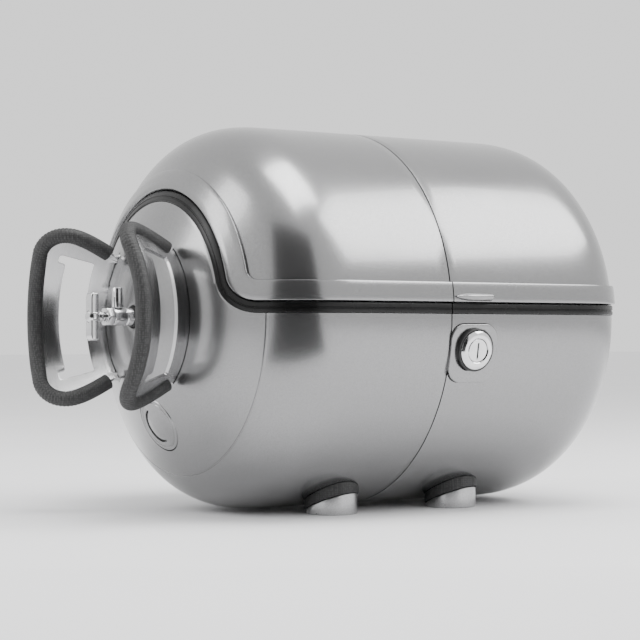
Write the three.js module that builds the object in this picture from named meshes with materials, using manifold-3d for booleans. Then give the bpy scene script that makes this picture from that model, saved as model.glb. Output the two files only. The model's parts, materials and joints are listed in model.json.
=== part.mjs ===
// Lockable keg capsule: a silver clamshell housing that lies on four feet around a pressure keg.
// Millimetres, +Z up. While it is being built, the long axis of the housing is the Y axis,
// the front end with the handles faces -Y, the lock is on the +X side and the hinges on -X.
// The finished group is moved so that the origin is under the middle, at the height of the floor.

import * as THREE from 'three';
import { mergeVertices } from 'three/addons/utils/BufferGeometryUtils.js';
import Module from 'manifold-3d';

const wasm = await Module();
wasm.setup();

// ---------- driving dimensions ----------

const GAP = 0.3;                    // clearance between pieces that touch

// Housing: a cylinder with two rounded ends.
const BODY_RADIUS = 150;
const FRONT_STRAIGHT_Y = -85;       // where the front end starts to curve in
const REAR_STRAIGHT_Y = 125.6;      // where the rear end starts to curve in
const END_DEPTH = 86;
const END_POWER = 2.75;             // power of the superellipse of both ends
const CROWN_RADIUS = 122.6;         // inside this radius the front end is a shallow crown
const CROWN_CURVE = 0.002815;       // crown height per square millimetre of radius
const SHELL_WALL = 2.5;
const LINER_OUT = 5.6;              // depth of the foam liner's outer face under the skin
const LINER_IN = 16;                // depth of the foam liner's inner face
const SPLIT_Y = 1;                  // ring joint between front and rear shells
const SPLIT_GAP = 0.5;              // half of the joint's open width
const SPLICE_HALF = 13;             // half-length of the band behind the joint
const SPLICE_WALL = 1.8;

// Parting seam between base and lid. It runs level along the sides and arches over the front.
const SEAM_Z = 2;                   // top edge of the base, above the long axis
const ARCH_RADIUS = 88.6;           // edge of the base where the seam arches over the front
const SEAM_FILLET = 34;             // radius where the arch swings out into the level edge
const SEAL_HEIGHT = 9;              // from the base's edge to the lid's edge
const BAND_HEIGHT = 15;             // raised band along the lid's edge
const BAND_PROUD = 3;
const SEAL_PROUD = 0.8;
const SEAL_DEPTH = 8;
const SEAL_LID_GAP = 0.6;           // the seal stops this far below the lid
const ARCH_END_Y = -60;             // the arch of the seam ends here, inside the straight part

// Keg inside the housing.
const KEG_RADIUS = 110;
const KEG_WALL = 2;
const KEG_FRONT_STRAIGHT_Y = -95;
const KEG_FRONT_DEPTH = 81;
const KEG_REAR_STRAIGHT_Y = 118;
const KEG_REAR_DEPTH = 62;
const KEG_POWER = 2.3;
const KEG_NECK_RADIUS = 13;
const CRADLE_WIDTH = 18;
const CRADLE_TOP_Z = -48;
const CRADLE_PLACES = { front: -88, rear: 112 };
const COLLAR_OPENING = 92;          // opening of the liners around the keg's neck and the ears

// Handle ears: two plates of one cone around the valve. Their roots pass through slots in the
// front shell and stand on the keg. The cone is unrolled at one mean radius to draw the outline.
const MOUNT_RADIUS = 61.8;          // arc that carries an ear's root on the keg
const MOUNT_WALL = 2.4;
const MOUNT_TOP_Y = -174.5;
const MOUNT_FOOT_Y = -167.6;
const MOUNT_HALF = 49;
const EAR_ROOT_RADIUS = 63.5;       // middle of the sheet where it leaves the housing
const EAR_ROOT_Y = -178.7;
const EAR_FLARE = THREE.MathUtils.degToRad(24.3);
const EAR_SHEET = 2.8;
const EAR_MEAN_RADIUS = 80;
const EAR_ROOT_HALF = 66.8;         // half-width at the root, unrolled
const EAR_WIDE_HALF = 72.6;         // half-width where the corners start, unrolled
const EAR_CORNER = 23;
const EAR_LENGTH = 55.5;            // along the slant, in the middle of the outer edge
const EAR_BOW = 3;                  // how much further the outer edge reaches at its corners
const EAR_SLOT = 0.6;               // clearance of the root in the shell's slot
const EAR_ROOT_DEPTH = 9.5;         // length of the straight root behind the shell
const WINDOW_START = 15.5;
const WINDOW_END = 37;
const WINDOW_NOTCH = 6.5;
const WINDOW_NOTCH_WIDTH = 8;
const WINDOW_HALF_ANGLE = THREE.MathUtils.degToRad(37.5);
const GRIP_RADIUS = 6.5;
const GRIP_START = 8;               // distance of the grip's ends from the root

// Feet.
const AXIS_HEIGHT = 152.5;          // long axis above the floor
const FOOT_X = 60;
const FOOT_PLACES = { front: -47, rear: 71 };
const FOOT_RADIUS = 20;
const SADDLE_RADIUS = 21.2;
const SADDLE_EDGE_Z = -143;         // parting of metal foot and rubber saddle, at the foot's middle
const SADDLE_SLOPE_X = 0.36;
const SADDLE_SLOPE_Y = 0.12;
const SCREW_RADIUS = 2.1;
const SCREW_HEAD_RADIUS = 4.3;
const SCREW_TIP_Z = -133;
const HEAD_TOP_Z = -148.5;
const HEAD_HEIGHT = 2.4;
const FOOT_TOP_Z = -118;            // above the skin, which cuts the foot to its shape

// Lock on the +X side, in its own frame: outwards is +X, and the frame is turned about the long axis.
const LOCK_ANGLE = THREE.MathUtils.degToRad(9.5);
const LOCK_Y = 23;
const PLATE_SIZE = 45;
const PLATE_CORNER = 12;
const PLATE_FACE = 151.2;
const PLATE_DROP = 3;               // the plate's middle lies this far below the lock's axis
const BEZEL_RADIUS = 16.5;
const BEZEL_FACE = 154.4;
const BUTTON_RADIUS = 15;
const BUTTON_FACE = 156.6;
const KEY_RADIUS = 9;
const KEYWAY = { width: 1.5, height: 11.7, depth: 6 };
const HOUSING_FLOOR = 126;
const HOUSING_RADIUS = 19.5;
const HOUSING_TOP = 146.2;
const BUTTON_BACK = 138;
const CAM_REACH = 8.2;
const SPRING_RADIUS = 12.4;
const SPRING_WIRE = 0.7;
const SPRING_TURNS = 4;

// Latch lever behind the lock.
const LATCH_PIVOT = { x: 121, z: 0 };
const LATCH_WIDTH = 4;

// Hinges on the -X side.
const HINGE_X = -155.4;
const HINGE_Z = 6.5;
const KNUCKLE_RADIUS = 3.6;
const PIN_RADIUS = 1.5;
const PIN_BORE = 1.95;
const HINGE_PLACES = { front: -52, rear: 92 };
const HINGE_HALF_LENGTH = 24;
const HINGE_MIDDLE = 11;            // half-length of the lid's knuckle

// Drain port low on the front.
const PORT_X = 5;
const PORT_Z = -83;
const PORT_RADIUS = 22;
const PORT_PLUG_RADIUS = 17.6;
const CRESCENT_RADIUS = 13.5;
const CRESCENT_WIDTH = 2.6;
const CRESCENT_DEPTH = 5;
const CRESCENT_START = THREE.MathUtils.degToRad(-285);   // angles run from +X down towards -Z
const CRESCENT_END = THREE.MathUtils.degToRad(-120);

// Valve on the long axis.
const VALVE_RADIUS = 6.75;
const VALVE_BORE = 4.6;
const VALVE_HOLE = 9;               // hole of the front shell around the valve
const VALVE_START_Y = -160;
const VALVE_END_Y = -208;
const SPIGOT_Y = -203;
const SPIGOT_RADIUS = 4.4;
const SPIGOT_TOP_Z = 22;
const GLAND_LENGTH = 6.5;
const TAP_BACK_Y = -221;
const STEM_RADIUS = 3;
const TAP_HALF_LENGTH = 18;
const TAP_HALF_WIDTH = 4.6;

const LINER_SIDES = 24;
const KEG_SIDES = 24;
const EAR_SIDES = 48;
const ROUND = 36;                   // sides of the large round pieces
const ROUND_SMALL = 16;             // sides of the small round pieces
const REAR_BUNCHING = 1.35;         // crowds the rear end's profile points towards its tip
const FAR = 400;                    // beyond the object in every direction

// ---------- materials ----------

function finish(color, roughness, metalness) {
  return new THREE.MeshStandardMaterial({ color, roughness, metalness });
}

const silver = finish(0xb3b5b7, 0.34, 0.75);
const seal = finish(0x17181a, 0.45, 0.0);
const rubber = finish(0x2b2c2e, 0.7, 0.0);
const steel = finish(0xb9bbbd, 0.3, 1.0);
const chrome = finish(0xd9dadc, 0.1, 1.0);
const footMetal = finish(0xa9abad, 0.35, 0.9);
const darkPlastic = finish(0x1b1c1e, 0.4, 0.0);
const foam = finish(0xe6e7e8, 0.85, 0.0);

// ---------- solids ----------

// A closed mesh becomes a solid with its faces pointing out.
function toSolid(geometry) {
  const bare = new THREE.BufferGeometry();
  bare.setAttribute('position', geometry.getAttribute('position').clone());
  bare.setIndex(geometry.getIndex());
  const merged = mergeVertices(bare, 1e-4);
  const index = merged.getIndex().array;
  const place = merged.getAttribute('position');
  const corners = [new THREE.Vector3(), new THREE.Vector3(), new THREE.Vector3()];
  const triangles = [];
  let volume = 0;
  for (let i = 0; i < index.length; i += 3) {
    const [a, b, c] = [index[i], index[i + 1], index[i + 2]];
    if (a === b || b === c || c === a) continue;
    corners[0].fromBufferAttribute(place, a);
    corners[1].fromBufferAttribute(place, b);
    corners[2].fromBufferAttribute(place, c);
    volume += corners[0].dot(corners[1].cross(corners[2]));
    triangles.push([a, b, c]);
  }
  if (volume < 0) triangles.forEach((triangle) => triangle.reverse());
  return new wasm.Manifold(new wasm.Mesh({
    numProp: 3,
    vertProperties: Float32Array.from(place.array),
    triVerts: Uint32Array.from(triangles.flat()),
  }));
}

function toGeometry(solid) {
  const mesh = solid.getMesh();
  const geometry = new THREE.BufferGeometry();
  geometry.setAttribute('position', new THREE.BufferAttribute(Float32Array.from(mesh.vertProperties), 3));
  geometry.setIndex(Array.from(mesh.triVerts));
  geometry.computeVertexNormals();
  return geometry;
}

function join(first, ...others) {
  return others.reduce((sum, other) => sum.add(other), first);
}

function cut(first, ...others) {
  return others.reduce((rest, other) => rest.subtract(other), first);
}

// Profile points are [radius, y]; the solid turns about the Y axis.
function revolve(points, sides = ROUND_SMALL, matrix = null) {
  const profile = points.map(([radius, y]) => new THREE.Vector2(radius, y));
  const geometry = new THREE.LatheGeometry(profile, sides);
  if (matrix) geometry.applyMatrix4(matrix);
  return toSolid(geometry);
}

function rod(radius, yStart, yEnd, sides = ROUND_SMALL, matrix = null) {
  return revolve([[0, yStart], [radius, yStart], [radius, yEnd], [0, yEnd]], sides, matrix);
}

function ring(inner, outer, yStart, yEnd, sides = ROUND_SMALL, matrix = null) {
  const points = [[inner, yStart], [outer, yStart], [outer, yEnd], [inner, yEnd], [inner, yStart]];
  return revolve(points, sides, matrix);
}

function block(xStart, xEnd, yStart, yEnd, zStart, zEnd, matrix = null) {
  const geometry = new THREE.BoxGeometry(xEnd - xStart, yEnd - yStart, zEnd - zStart);
  geometry.translate((xStart + xEnd) / 2, (yStart + yEnd) / 2, (zStart + zEnd) / 2);
  if (matrix) geometry.applyMatrix4(matrix);
  return toSolid(geometry);
}

// Outline points are [x, z]; the prism runs along Y.
function prismAlongY(points, yStart, yEnd, matrix = null) {
  const shape = new THREE.Shape(points.map(([x, z]) => new THREE.Vector2(x, z)));
  const geometry = new THREE.ExtrudeGeometry(shape, { depth: yEnd - yStart, bevelEnabled: false });
  geometry.rotateX(Math.PI / 2);
  geometry.translate(0, yEnd, 0);
  if (matrix) geometry.applyMatrix4(matrix);
  return toSolid(geometry);
}

// Outline points are [y, z]; the prism runs along X.
function prismAlongX(points, xStart, xEnd, matrix = null) {
  const shape = new THREE.Shape(points.map(([y, z]) => new THREE.Vector2(y, z)));
  const geometry = new THREE.ExtrudeGeometry(shape, { depth: xEnd - xStart, bevelEnabled: false });
  geometry.rotateX(Math.PI / 2);
  geometry.rotateZ(Math.PI / 2);
  geometry.translate(xStart, 0, 0);
  if (matrix) geometry.applyMatrix4(matrix);
  return toSolid(geometry);
}

function arc(centreX, centreY, radius, start, end, steps) {
  const points = [];
  for (let i = 0; i <= steps; i += 1) {
    const angle = start + ((end - start) * i) / steps;
    points.push([centreX + radius * Math.cos(angle), centreY + radius * Math.sin(angle)]);
  }
  return points;
}

function roundedSquare(size, corner, steps = 5) {
  const reach = size / 2 - corner;
  const quarter = Math.PI / 2;
  return [
    ...arc(reach, reach, corner, 0, quarter, steps),
    ...arc(-reach, reach, corner, quarter, 2 * quarter, steps),
    ...arc(-reach, -reach, corner, 2 * quarter, 3 * quarter, steps),
    ...arc(reach, -reach, corner, 3 * quarter, 4 * quarter, steps),
  ];
}

const object = new THREE.Group();

function addPiece(name, solid, material) {
  const mesh = new THREE.Mesh(toGeometry(solid), material);
  mesh.name = name;
  object.add(mesh);
}

// ---------- outer form ----------

function superellipse(radius, depth, power, angle) {
  return [
    radius * Math.sin(angle) ** (2 / power),
    depth * Math.max(Math.cos(angle), 0) ** (2 / power),
  ];
}

const crownShare = (CROWN_RADIUS / BODY_RADIUS) ** END_POWER;
const crownEdgeY = FRONT_STRAIGHT_Y - END_DEPTH * (1 - crownShare) ** (1 / END_POWER);

function crownY(radius) {
  return crownEdgeY - CROWN_CURVE * (CROWN_RADIUS ** 2 - radius ** 2);
}

// Skin profile from the front tip to the rear tip, moved outwards by the given offset.
function skinProfile(offset, crownSteps, curveSteps) {
  const skin = [];
  for (let i = 0; i < crownSteps; i += 1) {
    const radius = (CROWN_RADIUS * i) / crownSteps;
    skin.push([radius, crownY(radius)]);
  }
  const first = Math.asin(Math.sqrt(crownShare));
  for (let i = 0; i <= curveSteps; i += 1) {
    const angle = first + ((Math.PI / 2 - first) * i) / curveSteps;
    const [radius, depth] = superellipse(BODY_RADIUS, END_DEPTH, END_POWER, angle);
    skin.push([radius, FRONT_STRAIGHT_Y - depth]);
  }
  const rearSteps = curveSteps + 2;
  for (let i = rearSteps; i >= 0; i -= 1) {
    const angle = (Math.PI / 2) * (i / rearSteps) ** REAR_BUNCHING;
    const [radius, depth] = superellipse(BODY_RADIUS, END_DEPTH, END_POWER, angle);
    skin.push([radius, REAR_STRAIGHT_Y + depth]);
  }
  return skin.map(([radius, y], i) => {
    const before = skin[Math.max(i - 1, 0)];
    const after = skin[Math.min(i + 1, skin.length - 1)];
    const along = new THREE.Vector2(after[0] - before[0], after[1] - before[1]).normalize();
    const onAxis = i === 0 || i === skin.length - 1;
    const outRadius = onAxis ? 0 : radius + along.y * offset;
    const outY = onAxis ? y + Math.sign(y) * offset : y - along.x * offset;
    return [outRadius, outY];
  });
}

function skinSolid(offset, sides = ROUND, crownSteps = 5, curveSteps = 8) {
  return revolve(skinProfile(offset, crownSteps, curveSteps), sides);
}

// Everything above the seam, moved up and outwards from the base's edge by the given distance.
function aboveSeam(distance) {
  const reach = 220;
  const centreZ = SEAM_Z + SEAM_FILLET;
  const centreX = Math.sqrt((ARCH_RADIUS + SEAM_FILLET) ** 2 - centreZ ** 2);
  const tilt = Math.atan2(centreZ, centreX);
  const fillet = SEAM_FILLET - distance;
  const half = Math.PI / 2;
  const outline = [
    [-reach, SEAM_Z + distance],
    ...arc(-centreX, centreZ, fillet, -half, -tilt, 5),
    ...arc(0, 0, ARCH_RADIUS + distance, Math.PI - tilt, tilt, 22).slice(1),
    ...arc(centreX, centreZ, fillet, Math.PI + tilt, 3 * half, 5).slice(1),
    [reach, SEAM_Z + distance],
    [reach, reach],
    [-reach, reach],
  ];
  const front = prismAlongY(outline, -FAR, ARCH_END_Y);
  const rest = block(-reach, reach, ARCH_END_Y - 1, FAR, SEAM_Z + distance, reach);
  return front.add(rest);
}

const frontHalf = block(-FAR, FAR, -FAR, SPLIT_Y - SPLIT_GAP, -FAR, FAR);
const rearHalf = block(-FAR, FAR, SPLIT_Y + SPLIT_GAP, FAR, -FAR, FAR);
const skin = skinSolid(0);
const housingWall = cut(skin, skinSolid(-SHELL_WALL, ROUND, 3, 5));

// ---------- frames of the lock and of the port ----------

const lockFrame = new THREE.Matrix4().makeRotationY(LOCK_ANGLE).setPosition(0, LOCK_Y, 0);
const turnToX = new THREE.Matrix4().makeRotationZ(-Math.PI / 2);
const lockTurned = lockFrame.clone().multiply(turnToX);

const portRadial = Math.hypot(PORT_X, PORT_Z);
const portSlope = 2 * CROWN_CURVE * portRadial;
const portCentre = new THREE.Vector3(PORT_X, crownY(portRadial), PORT_Z);
const portNormal = new THREE.Vector3(PORT_X * portSlope / portRadial, -1, PORT_Z * portSlope / portRadial);
portNormal.normalize();
const portTurn = new THREE.Quaternion().setFromUnitVectors(new THREE.Vector3(0, 1, 0), portNormal);
const portFrame = new THREE.Matrix4().compose(portCentre, portTurn, new THREE.Vector3(1, 1, 1));

// ---------- housing: base ----------

const plateFrame = lockFrame.clone().multiply(new THREE.Matrix4().makeTranslation(0, 0, -PLATE_DROP));
const lockOutline = roundedSquare(PLATE_SIZE + 2 * GAP, PLATE_CORNER + GAP);
const lockOpening = prismAlongX(lockOutline, 140, 165, plateFrame);
const portOpening = rod(PORT_RADIUS + 2 * GAP, -12, 12, 28, portFrame);
const valveOpening = rod(VALVE_HOLE, -260, -120);
const earSlotReach = EAR_SHEET / 2 + EAR_SLOT;
const earSlot = ring(EAR_ROOT_RADIUS - earSlotReach, EAR_ROOT_RADIUS + earSlotReach, -220, -150, EAR_SIDES);
const earSlotHalf = EAR_ROOT_RADIUS * Math.sin(EAR_ROOT_HALF / EAR_MEAN_RADIUS) + 3;
const earSlots = [
  earSlot.intersect(block(10, 80, -FAR, 0, -earSlotHalf, earSlotHalf)),
  earSlot.intersect(block(-80, -10, -FAR, 0, -earSlotHalf, earSlotHalf)),
];
const seamBase = aboveSeam(0);
const seamLid = aboveSeam(SEAL_HEIGHT);

function feet(build) {
  for (const [place, y] of Object.entries(FOOT_PLACES)) {
    for (const [side, sign] of [['left', -1], ['right', 1]]) {
      build(`${place}_${side}`, sign * FOOT_X, y, sign);
    }
  }
}

function upright(x, y) {
  return new THREE.Matrix4().makeRotationX(Math.PI / 2).setPosition(x, y, 0);
}

let baseWall = cut(housingWall, seamBase, valveOpening, ...earSlots, lockOpening, portOpening);
feet((name, x, y) => {
  baseWall = baseWall.subtract(rod(SCREW_RADIUS + GAP, -160, -120, 12, upright(x, y)));
});
addPiece('base_front_shell', baseWall.intersect(frontHalf), silver);
addPiece('base_rear_shell', baseWall.intersect(rearHalf), silver);

const wallInside = BODY_RADIUS - SHELL_WALL;
const spliceOuter = wallInside - GAP - 0.2;
const spliceInner = spliceOuter - SPLICE_WALL;
const spliceRing = ring(spliceInner, spliceOuter, SPLIT_Y - SPLICE_HALF, SPLIT_Y + SPLICE_HALF, ROUND);
const lockPocket = block(100, 149, LOCK_Y - 25, LOCK_Y + 25, -54, SEAM_Z + 4);
addPiece('base_splice_band', cut(spliceRing, aboveSeam(-3), lockPocket), darkPlastic);

const sealRing = cut(skinSolid(SEAL_PROUD), skinSolid(-SEAL_DEPTH, ROUND, 3, 5));
const sealStrip = cut(sealRing.intersect(aboveSeam(GAP)), aboveSeam(SEAL_HEIGHT - SEAL_LID_GAP));
addPiece('front_seal', sealStrip.intersect(frontHalf), seal);
addPiece('rear_seal', sealStrip.intersect(rearHalf), seal);

const linerWall = cut(skinSolid(-LINER_OUT, LINER_SIDES, 3, 4), skinSolid(-LINER_IN, LINER_SIDES, 3, 4));
const linerOpening = rod(COLLAR_OPENING, -260, -120, LINER_SIDES);
const baseLiner = cut(linerWall, aboveSeam(-2), linerOpening, lockPocket, rod(30, -30, 12, 16, portFrame));
addPiece('base_liner', baseLiner, foam);

// ---------- housing: lid ----------

const seamRim = aboveSeam(SEAL_HEIGHT + BAND_HEIGHT);
const bandWall = cut(skinSolid(BAND_PROUD), skinSolid(-1));
const lidBand = cut(bandWall.intersect(seamLid), seamRim);
const lidWall = housingWall.intersect(seamLid).add(lidBand);
addPiece('lid_front_shell', lidWall.intersect(frontHalf), silver);
addPiece('lid_rear_shell', lidWall.intersect(rearHalf), silver);
const strikerPocket = block(112, 149, LOCK_Y - 12, LOCK_Y + 12, 0, 42);
const lidSplice = cut(spliceRing.intersect(aboveSeam(SEAL_HEIGHT + 3)), strikerPocket);
addPiece('lid_splice_band', lidSplice, darkPlastic);
const lidLiner = cut(linerWall.intersect(aboveSeam(SEAL_HEIGHT + 2)), linerOpening, strikerPocket);
addPiece('lid_liner', lidLiner, foam);

const pullProfile = [[153.4, 12.2], [156.6, 13], [157.4, 14.6], [156.6, 16.4], [153.4, 17.4]];
addPiece('finger_pull', prismAlongY(pullProfile, 3, 37), silver);

// ---------- keg with its collar and handles ----------

function kegProfile(inset, steps) {
  const points = [];
  for (let i = 0; i <= steps; i += 1) {
    const angle = (Math.PI / 2) * (i / steps);
    const [radius, depth] = superellipse(KEG_RADIUS - inset, KEG_FRONT_DEPTH - inset, KEG_POWER, angle);
    points.push([radius, KEG_FRONT_STRAIGHT_Y - depth]);
  }
  for (let i = steps; i >= 0; i -= 1) {
    const angle = (Math.PI / 2) * (i / steps);
    const [radius, depth] = superellipse(KEG_RADIUS - inset, KEG_REAR_DEPTH - inset, KEG_POWER, angle);
    points.push([radius, KEG_REAR_STRAIGHT_Y + depth]);
  }
  return points;
}

const kegTipY = KEG_FRONT_STRAIGHT_Y - KEG_FRONT_DEPTH;
const kegNeck = rod(KEG_NECK_RADIUS, kegTipY - 5, kegTipY + 6, KEG_SIDES);
const kegBody = revolve(kegProfile(0, 6), KEG_SIDES).add(kegNeck);
const kegBore = rod(VALVE_RADIUS + GAP, kegTipY - 20, kegTipY + 20);
const kegHollow = revolve(kegProfile(KEG_WALL, 5), KEG_SIDES).add(kegBore);
addPiece('keg_vessel', cut(kegBody, kegHollow), steel);

const cradleSpace = BODY_RADIUS - LINER_IN - GAP - 0.6;
for (const [place, y] of Object.entries(CRADLE_PLACES)) {
  const whole = ring(KEG_RADIUS + GAP, cradleSpace, y - CRADLE_WIDTH / 2, y + CRADLE_WIDTH / 2, KEG_SIDES);
  const cradle = cut(whole, block(-FAR, FAR, -FAR, FAR, CRADLE_TOP_Z, FAR));
  addPiece(`${place}_cradle`, cradle, darkPlastic);
}

const mountRing = ring(MOUNT_RADIUS - MOUNT_WALL, MOUNT_RADIUS, MOUNT_TOP_Y, MOUNT_FOOT_Y, ROUND);
for (const [side, start] of [['left', -80], ['right', 20]]) {
  const arcPart = mountRing.intersect(block(start, start + 60, -FAR, 0, -MOUNT_HALF, MOUNT_HALF));
  addPiece(`${side}_ear_mount`, arcPart, steel);
}

// A point of the ears' cone: angle around the long axis and distance from the root along the slant.
function conePoint(angle, slant, off = 0) {
  const radius = EAR_ROOT_RADIUS + slant * Math.sin(EAR_FLARE) + off * Math.cos(EAR_FLARE);
  const y = EAR_ROOT_Y - slant * Math.cos(EAR_FLARE) + off * Math.sin(EAR_FLARE);
  return new THREE.Vector3(radius * Math.cos(angle), y, radius * Math.sin(angle));
}

// Sheet of the cone with a short straight root, as a full ring of the given thickness.
function earRing(sheet) {
  const half = sheet / 2;
  const beyond = EAR_LENGTH + 12;
  const outerEnd = conePoint(0, beyond, half);
  const innerEnd = conePoint(0, beyond, -half);
  const root = EAR_ROOT_Y + EAR_ROOT_DEPTH;
  const points = [
    [EAR_ROOT_RADIUS - half, root],
    [EAR_ROOT_RADIUS + half, root],
    [EAR_ROOT_RADIUS + half, EAR_ROOT_Y],
    [outerEnd.x, outerEnd.y],
    [innerEnd.x, innerEnd.y],
    [EAR_ROOT_RADIUS - half, EAR_ROOT_Y],
    [EAR_ROOT_RADIUS - half, root],
  ];
  return revolve(points, EAR_SIDES);
}

// Edge of an ear, from the root at the bottom round both corners to the root at the top.
// A positive grow moves the edge outwards.
function earEdge(start, grow, steps) {
  const cornerSlant = EAR_LENGTH + EAR_BOW - EAR_CORNER;
  const cornerAlong = EAR_WIDE_HALF - EAR_CORNER;
  const half = Math.PI / 2;
  const side = [[EAR_ROOT_HALF + grow, start], [EAR_ROOT_HALF + 3.4 + grow, (start + cornerSlant) / 2]];
  const corner = arc(cornerAlong, cornerSlant, EAR_CORNER + grow, 0, half, steps);
  const bow = [0.6, 0.3].map((share) => [
    cornerAlong * share, EAR_LENGTH + EAR_BOW * share ** 2 + grow,
  ]);
  const upper = [...side, ...corner, ...bow];
  const lower = upper.map(([along, slant]) => [-along, slant]);
  const unrolled = [...lower, [0, EAR_LENGTH + grow], ...upper.reverse()];
  return unrolled.map(([along, slant]) => conePoint(along / EAR_MEAN_RADIUS, slant));
}

// The same edge seen along X, as an outline that also takes in the straight root.
function earOutline(grow) {
  const edge = earEdge(3, grow, 6).map((point) => [point.y, point.z]);
  const rootHalf = EAR_ROOT_RADIUS * Math.sin(EAR_ROOT_HALF / EAR_MEAN_RADIUS) + 2 + grow;
  const root = EAR_ROOT_Y + 12;
  return [[root, -rootHalf], [EAR_ROOT_Y, -rootHalf], ...edge, [EAR_ROOT_Y, rootHalf], [root, rootHalf]];
}

function windowOutline() {
  const side = WINDOW_HALF_ANGLE;
  const notch = side - WINDOW_NOTCH_WIDTH / EAR_MEAN_RADIUS;
  const corners = [
    [-side, WINDOW_START],
    [-side, WINDOW_END + WINDOW_NOTCH],
    [-notch, WINDOW_END + WINDOW_NOTCH],
    [-notch, WINDOW_END],
  ];
  const steps = 8;
  for (let i = 1; i < steps; i += 1) {
    corners.push([notch * (-1 + (2 * i) / steps), WINDOW_END]);
  }
  corners.push(...corners.slice(0, 4).reverse().map(([angle, slant]) => [-angle, slant]));
  return corners.map(([angle, slant]) => conePoint(angle, slant)).map((point) => [point.y, point.z]);
}

const handWindow = prismAlongX(windowOutline(), 20, 120);
const earSide = prismAlongX(earOutline(0), 20, 120);
const gripSlot = earRing(EAR_SHEET + 2 * GAP).intersect(prismAlongX(earOutline(GAP), 20, 120));

function gripSolid() {
  const path = new THREE.CatmullRomCurve3(earEdge(GRIP_START, 0, 4), false, 'centripetal');
  const section = new THREE.Shape(arc(0, 0, GRIP_RADIUS, 0, 2 * Math.PI, 8)
    .slice(1)
    .map(([x, y]) => new THREE.Vector2(x, y)));
  const settings = { steps: 30, extrudePath: path, bevelEnabled: false };
  return toSolid(new THREE.ExtrudeGeometry(section, settings));
}

const rightEar = cut(earRing(EAR_SHEET).intersect(earSide), handWindow);
const rightGrip = gripSolid().subtract(gripSlot);
const mirrorX = new THREE.Matrix4().makeScale(-1, 1, 1);

function mirrored(solid) {
  return toSolid(toGeometry(solid).applyMatrix4(mirrorX));
}

addPiece('right_handle_ear', rightEar, steel);
addPiece('left_handle_ear', mirrored(rightEar), steel);
addPiece('right_grip', rightGrip, rubber);
addPiece('left_grip', mirrored(rightGrip), rubber);

// ---------- valve ----------

const valveFloorY = VALVE_START_Y - 4;
const valveTube = revolve([
  [2.2, VALVE_START_Y], [VALVE_RADIUS, VALVE_START_Y], [VALVE_RADIUS, VALVE_END_Y],
  [VALVE_BORE, VALVE_END_Y], [VALVE_BORE, valveFloorY], [2.2, valveFloorY], [2.2, VALVE_START_Y],
]);
addPiece('valve_grommet', ring(VALVE_RADIUS + GAP, VALVE_HOLE - GAP, -191.4, -185.5), seal);
addPiece('valve_body', valveTube.subtract(block(-2, 2, SPIGOT_Y - 2, SPIGOT_Y + 2, 0, 10)), chrome);
const spigotFrame = upright(0, SPIGOT_Y);
const spigotTube = ring(2.6, SPIGOT_RADIUS, VALVE_RADIUS + GAP, SPIGOT_TOP_Z, ROUND_SMALL, spigotFrame);
addPiece('outlet_spigot', spigotTube, chrome);
const glandEnd = VALVE_END_Y - GLAND_LENGTH;
const gland = cut(rod(7.4, glandEnd, VALVE_END_Y - GAP, 6), rod(STEM_RADIUS + GAP, -240, -180));
addPiece('valve_gland', gland, chrome);
const plungerEndY = valveFloorY - 6;
addPiece('valve_plunger', rod(VALVE_BORE - GAP, plungerEndY, valveFloorY - 0.6), rubber);
const stem = join(rod(STEM_RADIUS, TAP_BACK_Y + GAP, plungerEndY - GAP), rod(4.1, -219.6, -216.4));
addPiece('valve_stem', stem, chrome);
const tapHub = revolve([
  [0, -229.5], [3.4, -229], [5.6, -226], [5.6, -223], [4.6, TAP_BACK_Y], [0, TAP_BACK_Y],
]);
const tapBar = prismAlongX([
  [-228, -TAP_HALF_LENGTH + 1.5], [-226.8, -TAP_HALF_LENGTH], [-222.2, -TAP_HALF_LENGTH],
  [-221.2, -TAP_HALF_LENGTH + 1.5], [-221.2, TAP_HALF_LENGTH - 1.5], [-222.2, TAP_HALF_LENGTH],
  [-226.8, TAP_HALF_LENGTH], [-228, TAP_HALF_LENGTH - 1.5],
], -TAP_HALF_WIDTH, TAP_HALF_WIDTH);
addPiece('t_handle', tapHub.add(tapBar), chrome);

const dipPath = new THREE.CatmullRomCurve3([
  new THREE.Vector3(0, -158.4, 0),
  new THREE.Vector3(0, -140, -6),
  new THREE.Vector3(0, -60, -60),
  new THREE.Vector3(0, 20, -96),
  new THREE.Vector3(0, 60, -99),
]);
const dipSection = new THREE.Shape();
dipSection.absarc(0, 0, 3, 0, 2 * Math.PI, false);
dipSection.holes.push(new THREE.Path().absarc(0, 0, 2, 0, 2 * Math.PI, true));
const dipSettings = { steps: 14, curveSegments: 4, extrudePath: dipPath, bevelEnabled: false };
addPiece('dip_tube', toSolid(new THREE.ExtrudeGeometry(dipSection, dipSettings)), steel);

// ---------- feet ----------

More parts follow.
